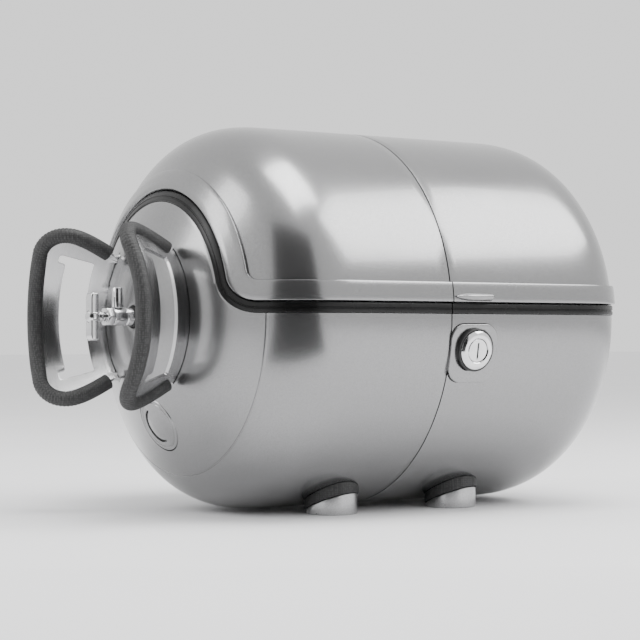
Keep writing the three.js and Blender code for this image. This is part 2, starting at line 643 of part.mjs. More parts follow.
const skinClear = skinSolid(GAP);
feet((name, x, y, sign) => {
  const slant = new THREE.Matrix4().set(
    1, 0, 0, x,
    0, 1, 0, y,
    sign * SADDLE_SLOPE_X, SADDLE_SLOPE_Y, 1, SADDLE_EDGE_Z,
    0, 0, 0, 1,
  );
  const bore = rod(SCREW_RADIUS + GAP, -170, -110, 12, upright(x, y));
  const headBore = rod(SCREW_HEAD_RADIUS + GAP, -AXIS_HEIGHT - 1, HEAD_TOP_Z + GAP, 12, upright(x, y));
  const column = rod(FOOT_RADIUS, -AXIS_HEIGHT, FOOT_TOP_Z, 24, upright(x, y));
  const pad = rod(SADDLE_RADIUS, -AXIS_HEIGHT, FOOT_TOP_Z, 24, upright(x, y));
  const upper = block(-40, 40, -40, 40, 0, 60, slant);
  const lowered = slant.clone().multiply(new THREE.Matrix4().makeTranslation(0, 0, -GAP));
  const foot = cut(column, block(-40, 40, -40, 40, 0, 60, lowered), skinClear, bore, headBore);
  addPiece(`foot_${name}`, foot, footMetal);
  addPiece(`foot_saddle_${name}`, cut(pad.intersect(upper), skinClear, bore), rubber);
  const screw = join(
    rod(SCREW_RADIUS, HEAD_TOP_Z - 1, SCREW_TIP_Z, 12, upright(x, y)),
    rod(SCREW_HEAD_RADIUS, HEAD_TOP_Z - HEAD_HEIGHT, HEAD_TOP_Z, 12, upright(x, y)));
  addPiece(`foot_screw_${name}`, screw, steel);
});

// ---------- lock ----------

const plate = prismAlongX(roundedSquare(PLATE_SIZE, PLATE_CORNER), 146.6, PLATE_FACE, plateFrame);
addPiece('lock_plate', plate.subtract(rod(BEZEL_RADIUS + GAP, 100, 200, 24, lockTurned)), silver);
addPiece('lock_bezel', ring(BUTTON_RADIUS + GAP, BEZEL_RADIUS, 140, BEZEL_FACE, 24, lockTurned), darkPlastic);
const housing = revolve([
  [6, HOUSING_FLOOR], [HOUSING_RADIUS, HOUSING_FLOOR],
  [HOUSING_RADIUS, HOUSING_TOP], [BEZEL_RADIUS + GAP, HOUSING_TOP],
  [BEZEL_RADIUS + GAP, HOUSING_FLOOR + 2], [6, HOUSING_FLOOR + 2], [6, HOUSING_FLOOR],
], 24, lockTurned);
addPiece('lock_housing', housing, darkPlastic);
const button = revolve([
  [KEY_RADIUS + GAP, BUTTON_BACK], [BUTTON_RADIUS, BUTTON_BACK], [BUTTON_RADIUS, BUTTON_FACE - 1.8],
  [BUTTON_RADIUS - 2.4, BUTTON_FACE], [KEY_RADIUS + GAP, BUTTON_FACE], [KEY_RADIUS + GAP, BUTTON_BACK],
], 24, lockTurned);
addPiece('lock_button', button, chrome);
const keyFace = BUTTON_FACE - 0.4;
const keyBarrel = join(rod(KEY_RADIUS, 131.3, keyFace, 24, lockTurned), rod(3, 120.6, 132, 12, lockTurned));
const keyway = block(
  keyFace - KEYWAY.depth, keyFace + 5, -KEYWAY.width / 2, KEYWAY.width / 2,
  -KEYWAY.height / 2, KEYWAY.height / 2, lockFrame);
addPiece('key_cylinder', keyBarrel.subtract(keyway), chrome);
const camOutline = [
  ...arc(0, 0, 5.5, Math.PI / 2, 1.5 * Math.PI, 8),
  [CAM_REACH, -4], [CAM_REACH, 4],
];
const cam = prismAlongX(camOutline, 121, 124.4, lockFrame).subtract(rod(3 + GAP, 100, 140, 12, lockTurned));
addPiece('lock_cam', cam, steel);

function springSolid() {
  const stepsPerTurn = 10;
  const steps = SPRING_TURNS * stepsPerTurn;
  const start = HOUSING_FLOOR + 3.2;
  const end = BUTTON_BACK - 1.2;
  const points = [];
  for (let i = 0; i <= steps; i += 1) {
    const angle = (i / stepsPerTurn) * 2 * Math.PI;
    const along = start + ((end - start) * i) / steps;
    points.push(new THREE.Vector3(SPRING_RADIUS * Math.cos(angle), along, SPRING_RADIUS * Math.sin(angle)));
  }
  const path = new THREE.CatmullRomCurve3(points);
  const section = new THREE.Shape(arc(0, 0, SPRING_WIRE, 0, 2 * Math.PI, 5)
    .slice(1)
    .map(([x, y]) => new THREE.Vector2(x, y)));
  const geometry = new THREE.ExtrudeGeometry(section, { steps, extrudePath: path, bevelEnabled: false });
  geometry.applyMatrix4(lockTurned);
  return toSolid(geometry);
}

addPiece('lock_spring', springSolid(), steel);

// Latch lever: the button pushes its lower arm inwards and its nose swings away from the striker.
const pivotFrame = new THREE.Matrix4().setPosition(LATCH_PIVOT.x, LOCK_Y, LATCH_PIVOT.z);
const lever = prismAlongY([
  [112.6, -26], [115.8, -26], [118.6, -12], [124, -3], [124.5, 2], [133, 8], [133, 18],
  [128, 18], [128, 15.5], [130, 14.5], [130, 10], [121.5, 5.5], [117.8, 0.5],
], LOCK_Y - LATCH_WIDTH / 2, LOCK_Y + LATCH_WIDTH / 2);
addPiece('latch_hook', lever.subtract(rod(PIN_BORE, -20, 20, 12, pivotFrame)), steel);
addPiece('latch_pin', rod(PIN_RADIUS, -7.5, 7.5, 12, pivotFrame), steel);
// The back wall between the cheeks is low, so that the lever clears it as it swings.
const leverHalf = LATCH_WIDTH / 2 + GAP;
const cheeks = cut(
  block(117.4, 126.6, LOCK_Y - 6.5, LOCK_Y + 6.5, -4.6, 2.3),
  block(110, 125.2, LOCK_Y - leverHalf, LOCK_Y + leverHalf, -20, 20),
  block(110, 130, LOCK_Y - leverHalf, LOCK_Y + leverHalf, -0.2, 20),
  rod(PIN_BORE, -20, 20, 12, pivotFrame));
addPiece('latch_bracket', cheeks, steel);
const striker = prismAlongY([
  [123.4, 9.5], [127.3, 9.5], [127.3, 11.5], [126.4, 12.5], [126.4, 31], [143, 31], [143, 34], [123.4, 34],
], LOCK_Y - 5, LOCK_Y + 5);
addPiece('lid_striker', striker, steel);

// ---------- hinges ----------

const bandClear = skinSolid(BAND_PROUD + GAP);
const sealClear = skinSolid(SEAL_PROUD + GAP);
const aboveBaseEdge = block(-FAR, FAR, -FAR, FAR, SEAM_Z - GAP, FAR);
const aboveLidEdge = block(-FAR, FAR, -FAR, FAR, SEAM_Z + SEAL_HEIGHT - GAP, FAR);
for (const [place, y] of Object.entries(HINGE_PLACES)) {
  const axle = new THREE.Matrix4().setPosition(HINGE_X, y, HINGE_Z);
  const length = HINGE_HALF_LENGTH;
  const bore = rod(PIN_BORE, -60, 60, 16, axle);
  const middle = block(-200, -100, y - HINGE_MIDDLE - GAP, y + HINGE_MIDDLE + GAP, 0.5, 60);
  const baseSheet = block(-152.4, -140, y - length, y + length, -20, SEAM_Z - GAP);
  const baseWeb = block(HINGE_X - 1, -150.5, y - length, y + length, -2, HINGE_Z);
  const baseLeaf = cut(
    join(baseSheet, baseWeb, rod(KNUCKLE_RADIUS, -length, length, 16, axle)),
    skinClear, sealClear.intersect(aboveBaseEdge), bore, middle);
  addPiece(`hinge_base_leaf_${place}`, baseLeaf, steel);
  const knuckle = rod(KNUCKLE_RADIUS, -HINGE_MIDDLE, HINGE_MIDDLE, 16, axle);
  const lidSheet = block(-155.2, -140, y - length, y + length, SEAM_Z + SEAL_HEIGHT + 0.6, 24);
  const lidWeb = block(HINGE_X - 1, -152, y - HINGE_MIDDLE, y + HINGE_MIDDLE, HINGE_Z, 13);
  const lidLeaf = cut(join(lidSheet, lidWeb, knuckle), bandClear.intersect(aboveLidEdge), sealClear, bore);
  addPiece(`hinge_lid_leaf_${place}`, lidLeaf, steel);
  addPiece(`hinge_pin_${place}`, rod(PIN_RADIUS, -length + 0.5, length - 0.5, 12, axle), steel);
}

// ---------- drain port ----------

const seat = ring(PORT_PLUG_RADIUS + 0.7, 25, -10, -5.6, 28, portFrame);
addPiece('port_seat', seat, darkPlastic);
addPiece('port_washer', ring(PORT_PLUG_RADIUS + 0.7, PORT_RADIUS - 0.4, -5.3, -3.3, 28, portFrame), seal);
const crescent = prismAlongY([
  ...arc(0, 0, CRESCENT_RADIUS + CRESCENT_WIDTH / 2, CRESCENT_START, CRESCENT_END, 12),
  ...arc(0, 0, CRESCENT_RADIUS - CRESCENT_WIDTH / 2, CRESCENT_END, CRESCENT_START, 12),
], -CRESCENT_DEPTH, 12, portFrame);
const cap = revolve([
  [0, -10], [PORT_PLUG_RADIUS, -10], [PORT_PLUG_RADIUS, -3], [PORT_RADIUS, -3],
  [PORT_RADIUS, -1.3], [12, -0.1], [0, 0.3],
], 28, portFrame);
addPiece('port_cap', cap.subtract(crescent), silver);

// ---------- place the object on the floor, with the origin under its middle ----------

const extent = new THREE.Box3().setFromObject(object);
object.position.set(0, -(extent.min.y + extent.max.y) / 2, AXIS_HEIGHT);

export default object;
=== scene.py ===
"""Looks of the lockable keg capsule: a silver clamshell housing on four feet around a keg.

Shapes are worked out in millimetres in the housing's own frame, whose Y axis is the housing's long
axis, and to_frame() takes them to the row frame in metres.
"""

import json
import math

import bmesh
import bpy
from mathutils import Matrix, Vector


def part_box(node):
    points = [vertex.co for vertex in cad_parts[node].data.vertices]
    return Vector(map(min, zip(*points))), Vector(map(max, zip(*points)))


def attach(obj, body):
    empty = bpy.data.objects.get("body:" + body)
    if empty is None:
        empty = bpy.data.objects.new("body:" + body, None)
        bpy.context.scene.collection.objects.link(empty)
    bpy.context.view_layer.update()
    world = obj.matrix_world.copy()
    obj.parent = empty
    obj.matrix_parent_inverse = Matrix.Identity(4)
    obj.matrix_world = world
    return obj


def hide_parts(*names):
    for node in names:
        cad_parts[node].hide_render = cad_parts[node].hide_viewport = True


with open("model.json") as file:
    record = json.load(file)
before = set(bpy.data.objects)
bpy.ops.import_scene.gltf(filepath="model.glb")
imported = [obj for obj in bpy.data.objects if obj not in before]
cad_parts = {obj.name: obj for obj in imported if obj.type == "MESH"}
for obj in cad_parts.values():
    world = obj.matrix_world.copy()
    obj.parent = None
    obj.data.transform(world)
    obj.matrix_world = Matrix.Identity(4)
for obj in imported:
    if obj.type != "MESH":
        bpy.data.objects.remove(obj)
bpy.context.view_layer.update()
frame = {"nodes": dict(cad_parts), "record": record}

# ---------- places in the frame ----------

REAR_TIP = 211.6
keg_low, keg_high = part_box("keg_vessel")
AXIS_HEIGHT = (keg_low.z + keg_high.z) / 2
SHIFT_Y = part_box("base_rear_shell")[1].y - REAR_TIP / 1000


def to_frame(point):
    """Housing frame in millimetres to row frame in metres."""
    return Vector((point[0] / 1000, point[1] / 1000 + SHIFT_Y, point[2] / 1000 + AXIS_HEIGHT))


# ---------- driving dimensions, millimetres ----------

BODY_RADIUS = 150.0
FRONT_STRAIGHT = -85.0
REAR_STRAIGHT = 125.6
END_DEPTH = 86.0
END_POWER = 2.75
CROWN_RADIUS = 122.6
CROWN_CURVE = 0.002815
WALL = 2.5
SPLIT_Y = 1.0
SPLIT_HALF = 0.5

SEAM_Z = 2.0
ARCH_RADIUS = 88.6
SEAM_FILLET = 34.0
LID_EDGE = 9.0
BAND_TOP = 24.0
BAND_PROUD = 2.95

EAR_ROOT_RADIUS = 63.5
EAR_ROOT_Y = -178.7
EAR_FLARE = math.radians(24.3)
EAR_SHEET = 2.8
EAR_MEAN = 80.0
EAR_ROOT_WIDE, EAR_ROOT_DEPTH = 70.0, 9.2
EAR_ROOT_HALF = 66.8
EAR_WIDE_HALF = 72.6
EAR_CORNER = 23.0
EAR_LENGTH = 55.5
EAR_BOW = 3.0
WINDOW_START, WINDOW_END = 15.5, 37.0
WINDOW_NOTCH, WINDOW_NOTCH_WIDTH = 6.5, 8.0
WINDOW_HALF, WINDOW_CORNER = math.radians(37.5), 2.6
GRIP_RADIUS = 6.1
GRIP_START = 8.0
GRIP_STEP = 0.62
GRIP_ROUND = 1.3
# The bends' middles, as a share of the grip's length from each end.
GRIP_BEND = 0.215
RIB_PITCH, RIB_DEPTH, RIB_REACH = 2.5, 0.42, 26.0
EAR_SLOT_INNER, EAR_SLOT_OUTER = 61.5, 65.5
EAR_SLOT_HALF = math.radians(51)

KEG_RADIUS = 110.0
VALVE_HOLE = 9.0
SPIGOT_Y = -203.0
PORT_X, PORT_Z, PORT_RADIUS = 5.0, -83.0, 22.0
LOCK_ANGLE = math.radians(9.5)
PLATE_SIZE, PLATE_CORNER, PLATE_DROP = 45.0, 12.0, 3.0
LOCK_Y = 23.0
# How far out from the long axis the lock's cutters reach.
LOCK_CUT = (138, 165)
# Room behind the skin as x, y and z limits.
LOCK_POCKET = (100, 149, LOCK_Y - 25, LOCK_Y + 25, -54, 6)
STRIKER_POCKET = (112, 149, LOCK_Y - 12, LOCK_Y + 12, 0, 42)
FOOT_X = 60.0
FOOT_Y = {"front": -47.0, "rear": 71.0}

ARCH_TILT = math.asin((SEAM_Z + SEAM_FILLET) / (ARCH_RADIUS + SEAM_FILLET))
FILLET_X = (ARCH_RADIUS + SEAM_FILLET) * math.cos(ARCH_TILT)

# Steps of the shells' grids.
SKIN_COLUMNS, ARCH_COLUMNS = 120, 68
ARCH_STEPS, FILLET_STEPS = 44, 16
FRONT_SIDE_STEPS, REAR_SIDE_STEPS = 10, 14
# Keeps the last ring just off the seam's level, where its radius would be nothing.
HAIR = 0.001


# ---------- outer form ----------

CROWN_SHARE = (CROWN_RADIUS / BODY_RADIUS) ** END_POWER
CROWN_EDGE = FRONT_STRAIGHT - END_DEPTH * (1 - CROWN_SHARE) ** (1 / END_POWER)


def front_y(radius):
    """Y of the front skin at a distance from the long axis."""
    if radius <= CROWN_RADIUS:
        return CROWN_EDGE - CROWN_CURVE * (CROWN_RADIUS**2 - radius**2)
    share = min(radius / BODY_RADIUS, 1.0) ** END_POWER
    return FRONT_STRAIGHT - END_DEPTH * (1 - share) ** (1 / END_POWER)


def rear_y(radius):
    share = min(radius / BODY_RADIUS, 1.0) ** END_POWER
    return REAR_STRAIGHT + END_DEPTH * (1 - share) ** (1 / END_POWER)


def skin_normal(radius, y):
    """(radial, axial) parts of the outward normal of the skin."""
    if FRONT_STRAIGHT <= y <= REAR_STRAIGHT:
        return 1.0, 0.0
    side = -1.0 if y < 0 else 1.0
    if y < 0 and radius < CROWN_RADIUS:
        slope = 2 * CROWN_CURVE * radius
        length = math.hypot(slope, 1.0)
        return slope / length, side / length
    deep = (y - (FRONT_STRAIGHT if y < 0 else REAR_STRAIGHT)) * side
    radial = (radius / BODY_RADIUS) ** (END_POWER - 1) / BODY_RADIUS
    axial = (max(deep, 0.0) / END_DEPTH) ** (END_POWER - 1) / END_DEPTH
    length = math.hypot(radial, axial)
    return radial / length, side * axial / length


def skin_point(radius, y, angle, offset=0.0):
    radial, axial = skin_normal(radius, y)
    out = radius + radial * offset
    return (out * math.cos(angle), y + axial * offset, out * math.sin(angle))


def spaced(start, end, steps):
    return [start + (end - start) * i / steps for i in range(steps + 1)]


def arc(centre_x, centre_y, radius, start, end, steps):
    return [
        (centre_x + radius * math.cos(a), centre_y + radius * math.sin(a))
        for a in spaced(start, end, steps)
    ]


def seam_angle(radius, distance, arched):
    """Angle above the horizontal at which the seam line crosses a ring of the skin, or None."""
    level = SEAM_Z + distance
    if arched and radius <= ARCH_RADIUS + distance + 1e-6:
        return None
    if arched and radius < math.hypot(FILLET_X, level):
        reach = ARCH_RADIUS + SEAM_FILLET
        fillet = SEAM_FILLET - distance
        cosine = (radius**2 + reach**2 - fillet**2) / (2 * radius * reach)
        return ARCH_TILT - math.acos(min(cosine, 1.0))
    return math.asin(level / radius) if radius > level else None


def fillet_arc(distance):
    """(x, z) points along the seam's fillet, from the arch to the level edge."""
    centre_z = SEAM_Z + SEAM_FILLET
    return arc(FILLET_X, centre_z, SEAM_FILLET - distance, math.pi + ARCH_TILT, 1.5 * math.pi, FILLET_STEPS)


def fillet_radii(distance):
    return [math.hypot(x, z) for x, z in fillet_arc(distance)]


def end_rings(start, end, steps, y_at):
    """Rings of an end's curve between two angles, where 90 degrees is the straight part."""
    rings = []
    for angle in spaced(start, end, steps):
        radius = BODY_RADIUS * math.sin(angle) ** (2 / END_POWER)
        rings.append((radius, y_at(radius)))
    return rings


def end_angle(radius):
    return math.asin(min(radius / BODY_RADIUS, 1.0) ** (END_POWER / 2))


def front_rings(first, steps=22):
    """Rings of the front skin from a ring of the given radius to the straight part."""
    return end_rings(end_angle(first), math.pi / 2, steps, front_y)


def rear_rings(last, steps=30):
    """Rings from the straight part to a ring of the given radius near the rear tip."""
    return end_rings(math.pi / 2, end_angle(last), steps, rear_y)


def straight_rings(start, end, steps):
    return [(BODY_RADIUS, y) for y in spaced(start, end, steps)]


FRONT_SIDES = straight_rings(FRONT_STRAIGHT, SPLIT_Y - SPLIT_HALF, FRONT_SIDE_STEPS)[1:]
REAR_SIDES = straight_rings(SPLIT_Y + SPLIT_HALF, REAR_STRAIGHT, REAR_SIDE_STEPS)[:-1]


# ---------- mesh helpers ----------

def in_scene(name, data):
    """A new object in the scene that holds a mesh, light or camera."""
    piece = bpy.data.objects.new(name, data)
    bpy.context.scene.collection.objects.link(piece)
    return piece


def add_object(name, points, faces):
    mesh = bpy.data.meshes.new(name)
    mesh.from_pydata([to_frame(p) for p in points], [], faces)
    mesh.validate()
    return in_scene(name, mesh)


def tidy(piece):
    """Welds doubles, drops empty faces and turns the faces outwards."""
    work = bmesh.new()
    work.from_mesh(piece.data)
    bmesh.ops.remove_doubles(work, verts=work.verts, dist=1e-6)
    bmesh.ops.dissolve_degenerate(work, edges=work.edges, dist=1e-7)
    bmesh.ops.recalc_face_normals(work, faces=work.faces)
    work.to_mesh(piece.data)
    work.free()
    return piece


def apply_modifiers(piece):
    graph = bpy.context.evaluated_depsgraph_get()
    mesh = bpy.data.meshes.new_from_object(piece.evaluated_get(graph))
    piece.modifiers.clear()
    old = piece.data
    piece.data = mesh
    bpy.data.meshes.remove(old)
    return piece


def smooth(piece, degrees):
    for face in piece.data.polygons:
        face.use_smooth = True
    piece.data.set_sharp_from_angle(angle=math.radians(degrees))


def add_bevel(piece, width, segments, degrees):
    """Rounds the edges that are sharper than the angle."""
    bevel = piece.modifiers.new("edge", "BEVEL")
    bevel.width = width / 1000
    bevel.segments = segments
    bevel.limit_method = "ANGLE"
    bevel.angle_limit = math.radians(degrees)


def bevelled(piece, width, segments=3, degrees=40):
    add_bevel(piece, width, segments, degrees)
    return apply_modifiers(piece)


def thickened(piece, depth):
    """Gives a skin its wall, on the inside."""
    solid = piece.modifiers.new("wall", "SOLIDIFY")
    solid.thickness = depth / 1000
    solid.offset = -1
    solid.use_even_offset = True
    return apply_modifiers(piece)


def carved(piece, cutter):
    """Cuts another object's shape out of a piece."""
    boolean = piece.modifiers.new("shape", "BOOLEAN")
    boolean.operation = "DIFFERENCE"
    boolean.object = cutter
    boolean.solver = "EXACT"
    bpy.context.view_layer.update()
    apply_modifiers(piece)
    bpy.data.objects.remove(cutter)


def joined(piece, others):
    """One object holding the meshes of several."""
    work = bmesh.new()
    work.from_mesh(piece.data)
    for other in others:
        work.from_mesh(other.data)
        bpy.data.objects.remove(other)
    work.to_mesh(piece.data)
    work.free()
    return piece


def grid_faces(rows, columns, closed=False):
    """Faces of a grid of rows by columns of points; closed joins the last column to the first."""
    faces = []
    for i in range(rows - 1):
        for j in range(columns if closed else columns - 1):
            k = (j + 1) % columns
            faces.append((i * columns + j, i * columns + k, (i + 1) * columns + k, (i + 1) * columns + j))
    return faces


def tube_faces(rows, columns):
    """Faces of a tube of rows by columns of points, with both its ends."""
    faces = grid_faces(rows, columns, closed=True)
    faces.append(tuple(range(columns)))
    faces.append(tuple(range((rows - 1) * columns, rows * columns))[::-1])
    return faces


def revolve(name, profile, place, sides=64):
    """A closed solid from [radius, height] points, turned about the place's Z axis.

    The profile starts and ends on the axis, or its last point joins its first."""
    points = []
    faces = []
    rows = []
    for radius, height in profile:
        if radius < 1e-6:
            points.append((0, 0, height))
            rows.append([len(points) - 1] * sides)
            continue
        points += [(x, y, height) for x, y in arc(0, 0, radius, 0, 2 * math.pi, sides)[:-1]]
        rows.append(list(range(len(points) - sides, len(points))))
    loops = list(zip(rows, rows[1:]))
    if profile[0][0] > 1e-6:
        loops.append((rows[-1], rows[0]))
    for low, high in loops:
        for i in range(sides):
            k = (i + 1) % sides
            face = [low[i], low[k], high[k], high[i]]
            face = [v for n, v in enumerate(face) if v not in face[:n]]
            if len(face) > 2:
                faces.append(face)
    return tidy(add_object(name, [place @ Vector(p) for p in points], faces))


def ring_profile(inner, outer, low, high):
    return [(inner, low), (outer, low), (outer, high), (inner, high)]


def rod_profile(radius, low, high):
    return [(0, low), (radius, low), (radius, high), (0, high)]


def prism(name, outline, low, high, place, hole=None):
    """A prism along the place's Z axis, with an optional hole with as many points as the outline."""
    count = len(outline)
    points = [(x, y, low) for x, y in outline] + [(x, y, high) for x, y in outline]
    faces = [(i, (i + 1) % count, count + (i + 1) % count, count + i) for i in range(count)]
    if hole is None:
        faces += [tuple(range(count))[::-1], tuple(range(count, 2 * count))]
    else:
        points += [(x, y, low) for x, y in hole] + [(x, y, high) for x, y in hole]
        for i in range(count):
            k = (i + 1) % count
            faces.append((2 * count + k, 2 * count + i, 3 * count + i, 3 * count + k))
            faces.append((i, 2 * count + i, 2 * count + k, k))
            faces.append((count + i, count + k, 3 * count + k, 3 * count + i))
    return tidy(add_object(name, [place @ Vector(p) for p in points], faces))


def rounded_square(size, corner, steps=10):
    reach = size / 2 - corner
    quarter = math.pi / 2
    points = []
    for n, (x, y) in enumerate([(1, 1), (-1, 1), (-1, -1), (1, -1)]):
        points += arc(x * reach, y * reach, corner, n * quarter, (n + 1) * quarter, steps)
    return points


def sweep(name, path, radius_at, sides):
    """A tube along a path of Vectors; radius_at(i) gives its radius at a point of the path."""
    points = []
    side = None
    for i, point in enumerate(path):
        along = (path[min(i + 1, len(path) - 1)] - path[max(i - 1, 0)]).normalized()
        if side is None:
            side = along.orthogonal().normalized()
        side = (side - along * side.dot(along)).normalized()
        up = along.cross(side)
        for j in range(sides):
            angle = 2 * math.pi * j / sides
            points.append(point + (side * math.cos(angle) + up * math.sin(angle)) * radius_at(i))
    return tidy(add_object(name, points, tube_faces(len(path), sides)))


# ---------- materials ----------

# The range that most of a noise texture's values lie in.
NOISE_LOW, NOISE_HIGH = 0.3, 0.7


def new_material(name, paint):
    """A material whose nodes are set up by the paint function."""
    material = bpy.data.materials.new(name)
    material.use_nodes = True
    tree = material.node_tree
    paint(tree, tree.nodes["Principled BSDF"])
    return material


def noise(tree, scale, detail=2.0, stretch=(1, 1, 1)):
    """Noise in the object's own coordinates, which are those of the row frame at rest."""
    place = tree.nodes.new("ShaderNodeTexCoord")
    mapping = tree.nodes.new("ShaderNodeMapping")
    mapping.inputs["Scale"].default_value = stretch
    texture = tree.nodes.new("ShaderNodeTexNoise")
    texture.inputs["Scale"].default_value = scale
    texture.inputs["Detail"].default_value = detail
    tree.links.new(place.outputs["Object"], mapping.inputs["Vector"])
    tree.links.new(mapping.outputs["Vector"], texture.inputs["Vector"])
    return texture.outputs["Fac"]


def spread(tree, value, low, high):
    """Takes a noise value from its middle range to low...high."""
    node = tree.nodes.new("ShaderNodeMapRange")
    node.inputs["From Min"].default_value = NOISE_LOW
    node.inputs["From Max"].default_value = NOISE_HIGH
    node.inputs["To Min"].default_value = low
    node.inputs["To Max"].default_value = high
    tree.links.new(value, node.inputs["Value"])
    return node.outputs["Result"]


def tone(tree, shader, value, low, high, start=NOISE_LOW, end=NOISE_HIGH):
    """Base colour between two grays, while a texture's value goes from start to end."""
    node = tree.nodes.new("ShaderNodeValToRGB")
    for element, place, shade in zip(node.color_ramp.elements, (start, end), (low, high)):
        element.position = place
        element.color = (shade, shade, shade * 1.01, 1)
    tree.links.new(value, node.inputs["Fac"])
    tree.links.new(node.outputs["Color"], shader.inputs["Base Color"])


def polish(tree, shader, value, low, high):
    """Roughness between two values, along a noise value's middle range."""
    tree.links.new(spread(tree, value, low, high), shader.inputs["Roughness"])


def cells(tree, scale, randomness=1.0):
    """Distances to the nearest point of a cell texture in the object's own coordinates."""
    place = tree.nodes.new("ShaderNodeTexCoord")
    texture = tree.nodes.new("ShaderNodeTexVoronoi")
    texture.inputs["Scale"].default_value = scale
    texture.inputs["Randomness"].default_value = randomness
    tree.links.new(place.outputs["Object"], texture.inputs["Vector"])
    return texture.outputs["Distance"]


def bump(tree, shader, value, strength, distance):
    node = tree.nodes.new("ShaderNodeBump")
    node.inputs["Strength"].default_value = strength
    node.inputs["Distance"].default_value = distance
    tree.links.new(value, node.inputs["Height"])
    tree.links.new(node.outputs["Normal"], shader.inputs["Normal"])


def silver_paint(tree, shader):
    """Satin metallic paint: fine flake under a clear coat."""
    flake = noise(tree, scale=1900, detail=1)
    tone(tree, shader, flake, low=0.23, high=0.32)
    polish(tree, shader, noise(tree, scale=9, detail=3), low=0.21, high=0.27)
    shader.inputs["Metallic"].default_value = 0.92
    shader.inputs["Coat Weight"].default_value = 0.35
    shader.inputs["Coat Roughness"].default_value = 0.06
    bump(tree, shader, flake, strength=0.05, distance=0.00004)


def black_seal(tree, shader):
    """Smooth moulded seal with a soft sheen."""
    grain = noise(tree, scale=700, detail=2)
    tone(tree, shader, grain, low=0.003, high=0.007)
    polish(tree, shader, noise(tree, scale=60), low=0.22, high=0.36)
    shader.inputs["Specular IOR Level"].default_value = 0.3
    bump(tree, shader, grain, strength=0.1, distance=0.00005)


def grip_rubber(tree, shader):
    """Matt rubber with a fine dotted grain."""
    dots = cells(tree, scale=620, randomness=0.35)
    tone(tree, shader, dots, low=0.05, high=0.018, start=0.1, end=0.6)
    polish(tree, shader, noise(tree, scale=90), low=0.55, high=0.7)
    bump(tree, shader, dots, strength=0.5, distance=-0.0003)


def satin_steel(tree, shader):
    """Stainless sheet with fine scratches along it and wider patches of duller metal."""
    fine = noise(tree, scale=260, detail=6, stretch=(0.5, 6, 0.5))
    wide = noise(tree, scale=45, detail=4, stretch=(1, 5, 1))
    tone(tree, shader, fine, low=0.46, high=0.52)
    polish(tree, shader, wide, low=0.2, high=0.27)
    shader.inputs["Metallic"].default_value = 1.0
    bump(tree, shader, fine, strength=0.03, distance=0.00002)


def lock_chrome(tree, shader):
    """Polished chrome with faint handling marks."""
    marks = noise(tree, scale=150, detail=5)
    tone(tree, shader, marks, low=0.66, high=0.78)
    polish(tree, shader, marks, low=0.07, high=0.17)
    shader.inputs["Metallic"].default_value = 1.0


def foot_alloy(tree, shader):
    """Cast alloy with a satin grain."""
    grain = noise(tree, scale=900, detail=3)
    tone(tree, shader, grain, low=0.46, high=0.58)
    polish(tree, shader, noise(tree, scale=70), low=0.26, high=0.38)
    shader.inputs["Metallic"].default_value = 0.95
    bump(tree, shader, grain, strength=0.08, distance=0.00005)


def black_plastic(tree, shader):
    """Moulded plastic with a fine spark-eroded grain."""
    grain = noise(tree, scale=1300, detail=3)
    tone(tree, shader, grain, low=0.01, high=0.022)
    polish(tree, shader, noise(tree, scale=80), low=0.36, high=0.5)
    bump(tree, shader, grain, strength=0.15, distance=0.00005)


def white_foam(tree, shader):
    """Moulded bead foam: pale cells with darker joints."""
    beads = cells(tree, scale=260)
    tone(tree, shader, beads, low=0.78, high=0.6, start=0.2, end=0.8)
    polish(tree, shader, noise(tree, scale=40), low=0.75, high=0.9)
    bump(tree, shader, beads, strength=0.4, distance=-0.0004)


MATERIALS = {paint.__name__: new_material(paint.__name__, paint) for paint in (
    silver_paint, black_seal, grip_rubber, satin_steel, lock_chrome, foot_alloy, black_plastic, white_foam)}


def finish_piece(piece, body, slot, *nodes, degrees=32):
    """Smooths a piece, gives it its material and puts it on its body in place of CAD nodes."""
    smooth(piece, degrees)
    piece.data.materials.clear()
    piece.data.materials.append(MATERIALS[slot])
    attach(piece, body)
    if nodes:
        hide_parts(*nodes)


# ---------- camera ----------

# The housing's own frame, millimetres. The view was solved from the photo's outline.
CAMERA_PLACE = (1336.688, -941.065, -16.529)
CAMERA_LOOK = Vector((-0.82237, 0.56888, 0.00925))
CAMERA_LENS, CAMERA_SENSOR = 112.67, 36


def make_camera():
    camera = in_scene("camera", bpy.data.cameras.new("camera"))
    camera.data.lens = CAMERA_LENS
    camera.data.sensor_width = CAMERA_SENSOR
    camera.location = to_frame(CAMERA_PLACE)
    camera.rotation_mode = "QUATERNION"
    camera.rotation_quaternion = CAMERA_LOOK.to_track_quat("-Z", "Y")
    camera.data.clip_start = 0.05
    camera.data.clip_end = 60
    bpy.context.scene.camera = camera


make_camera()


# ---------- housing shells ----------

def shell_grid(name, rings, distance=0.0, above=False, offset=0.0, arched=True):
    """One side of the seam on a stack of rings, from ring to ring.

    A ring that the seam doesn't cross is whole below the seam and left out above it."""
    rows = []
    for radius, y in rings:
        crossing = seam_angle(radius, distance, arched and y < 0)
        if above:
            if crossing is None:
                continue
            angles = spaced(crossing, math.pi - crossing, SKIN_COLUMNS)
        else:
            edge = ARCH_TILT if crossing is None else crossing
            angles = spaced(-math.pi - edge, edge, SKIN_COLUMNS)
        rows.append([skin_point(radius, y, a, offset) for a in angles])
    points = [p for row in rows for p in row]
    return add_object(name, points, grid_faces(len(rows), SKIN_COLUMNS + 1))


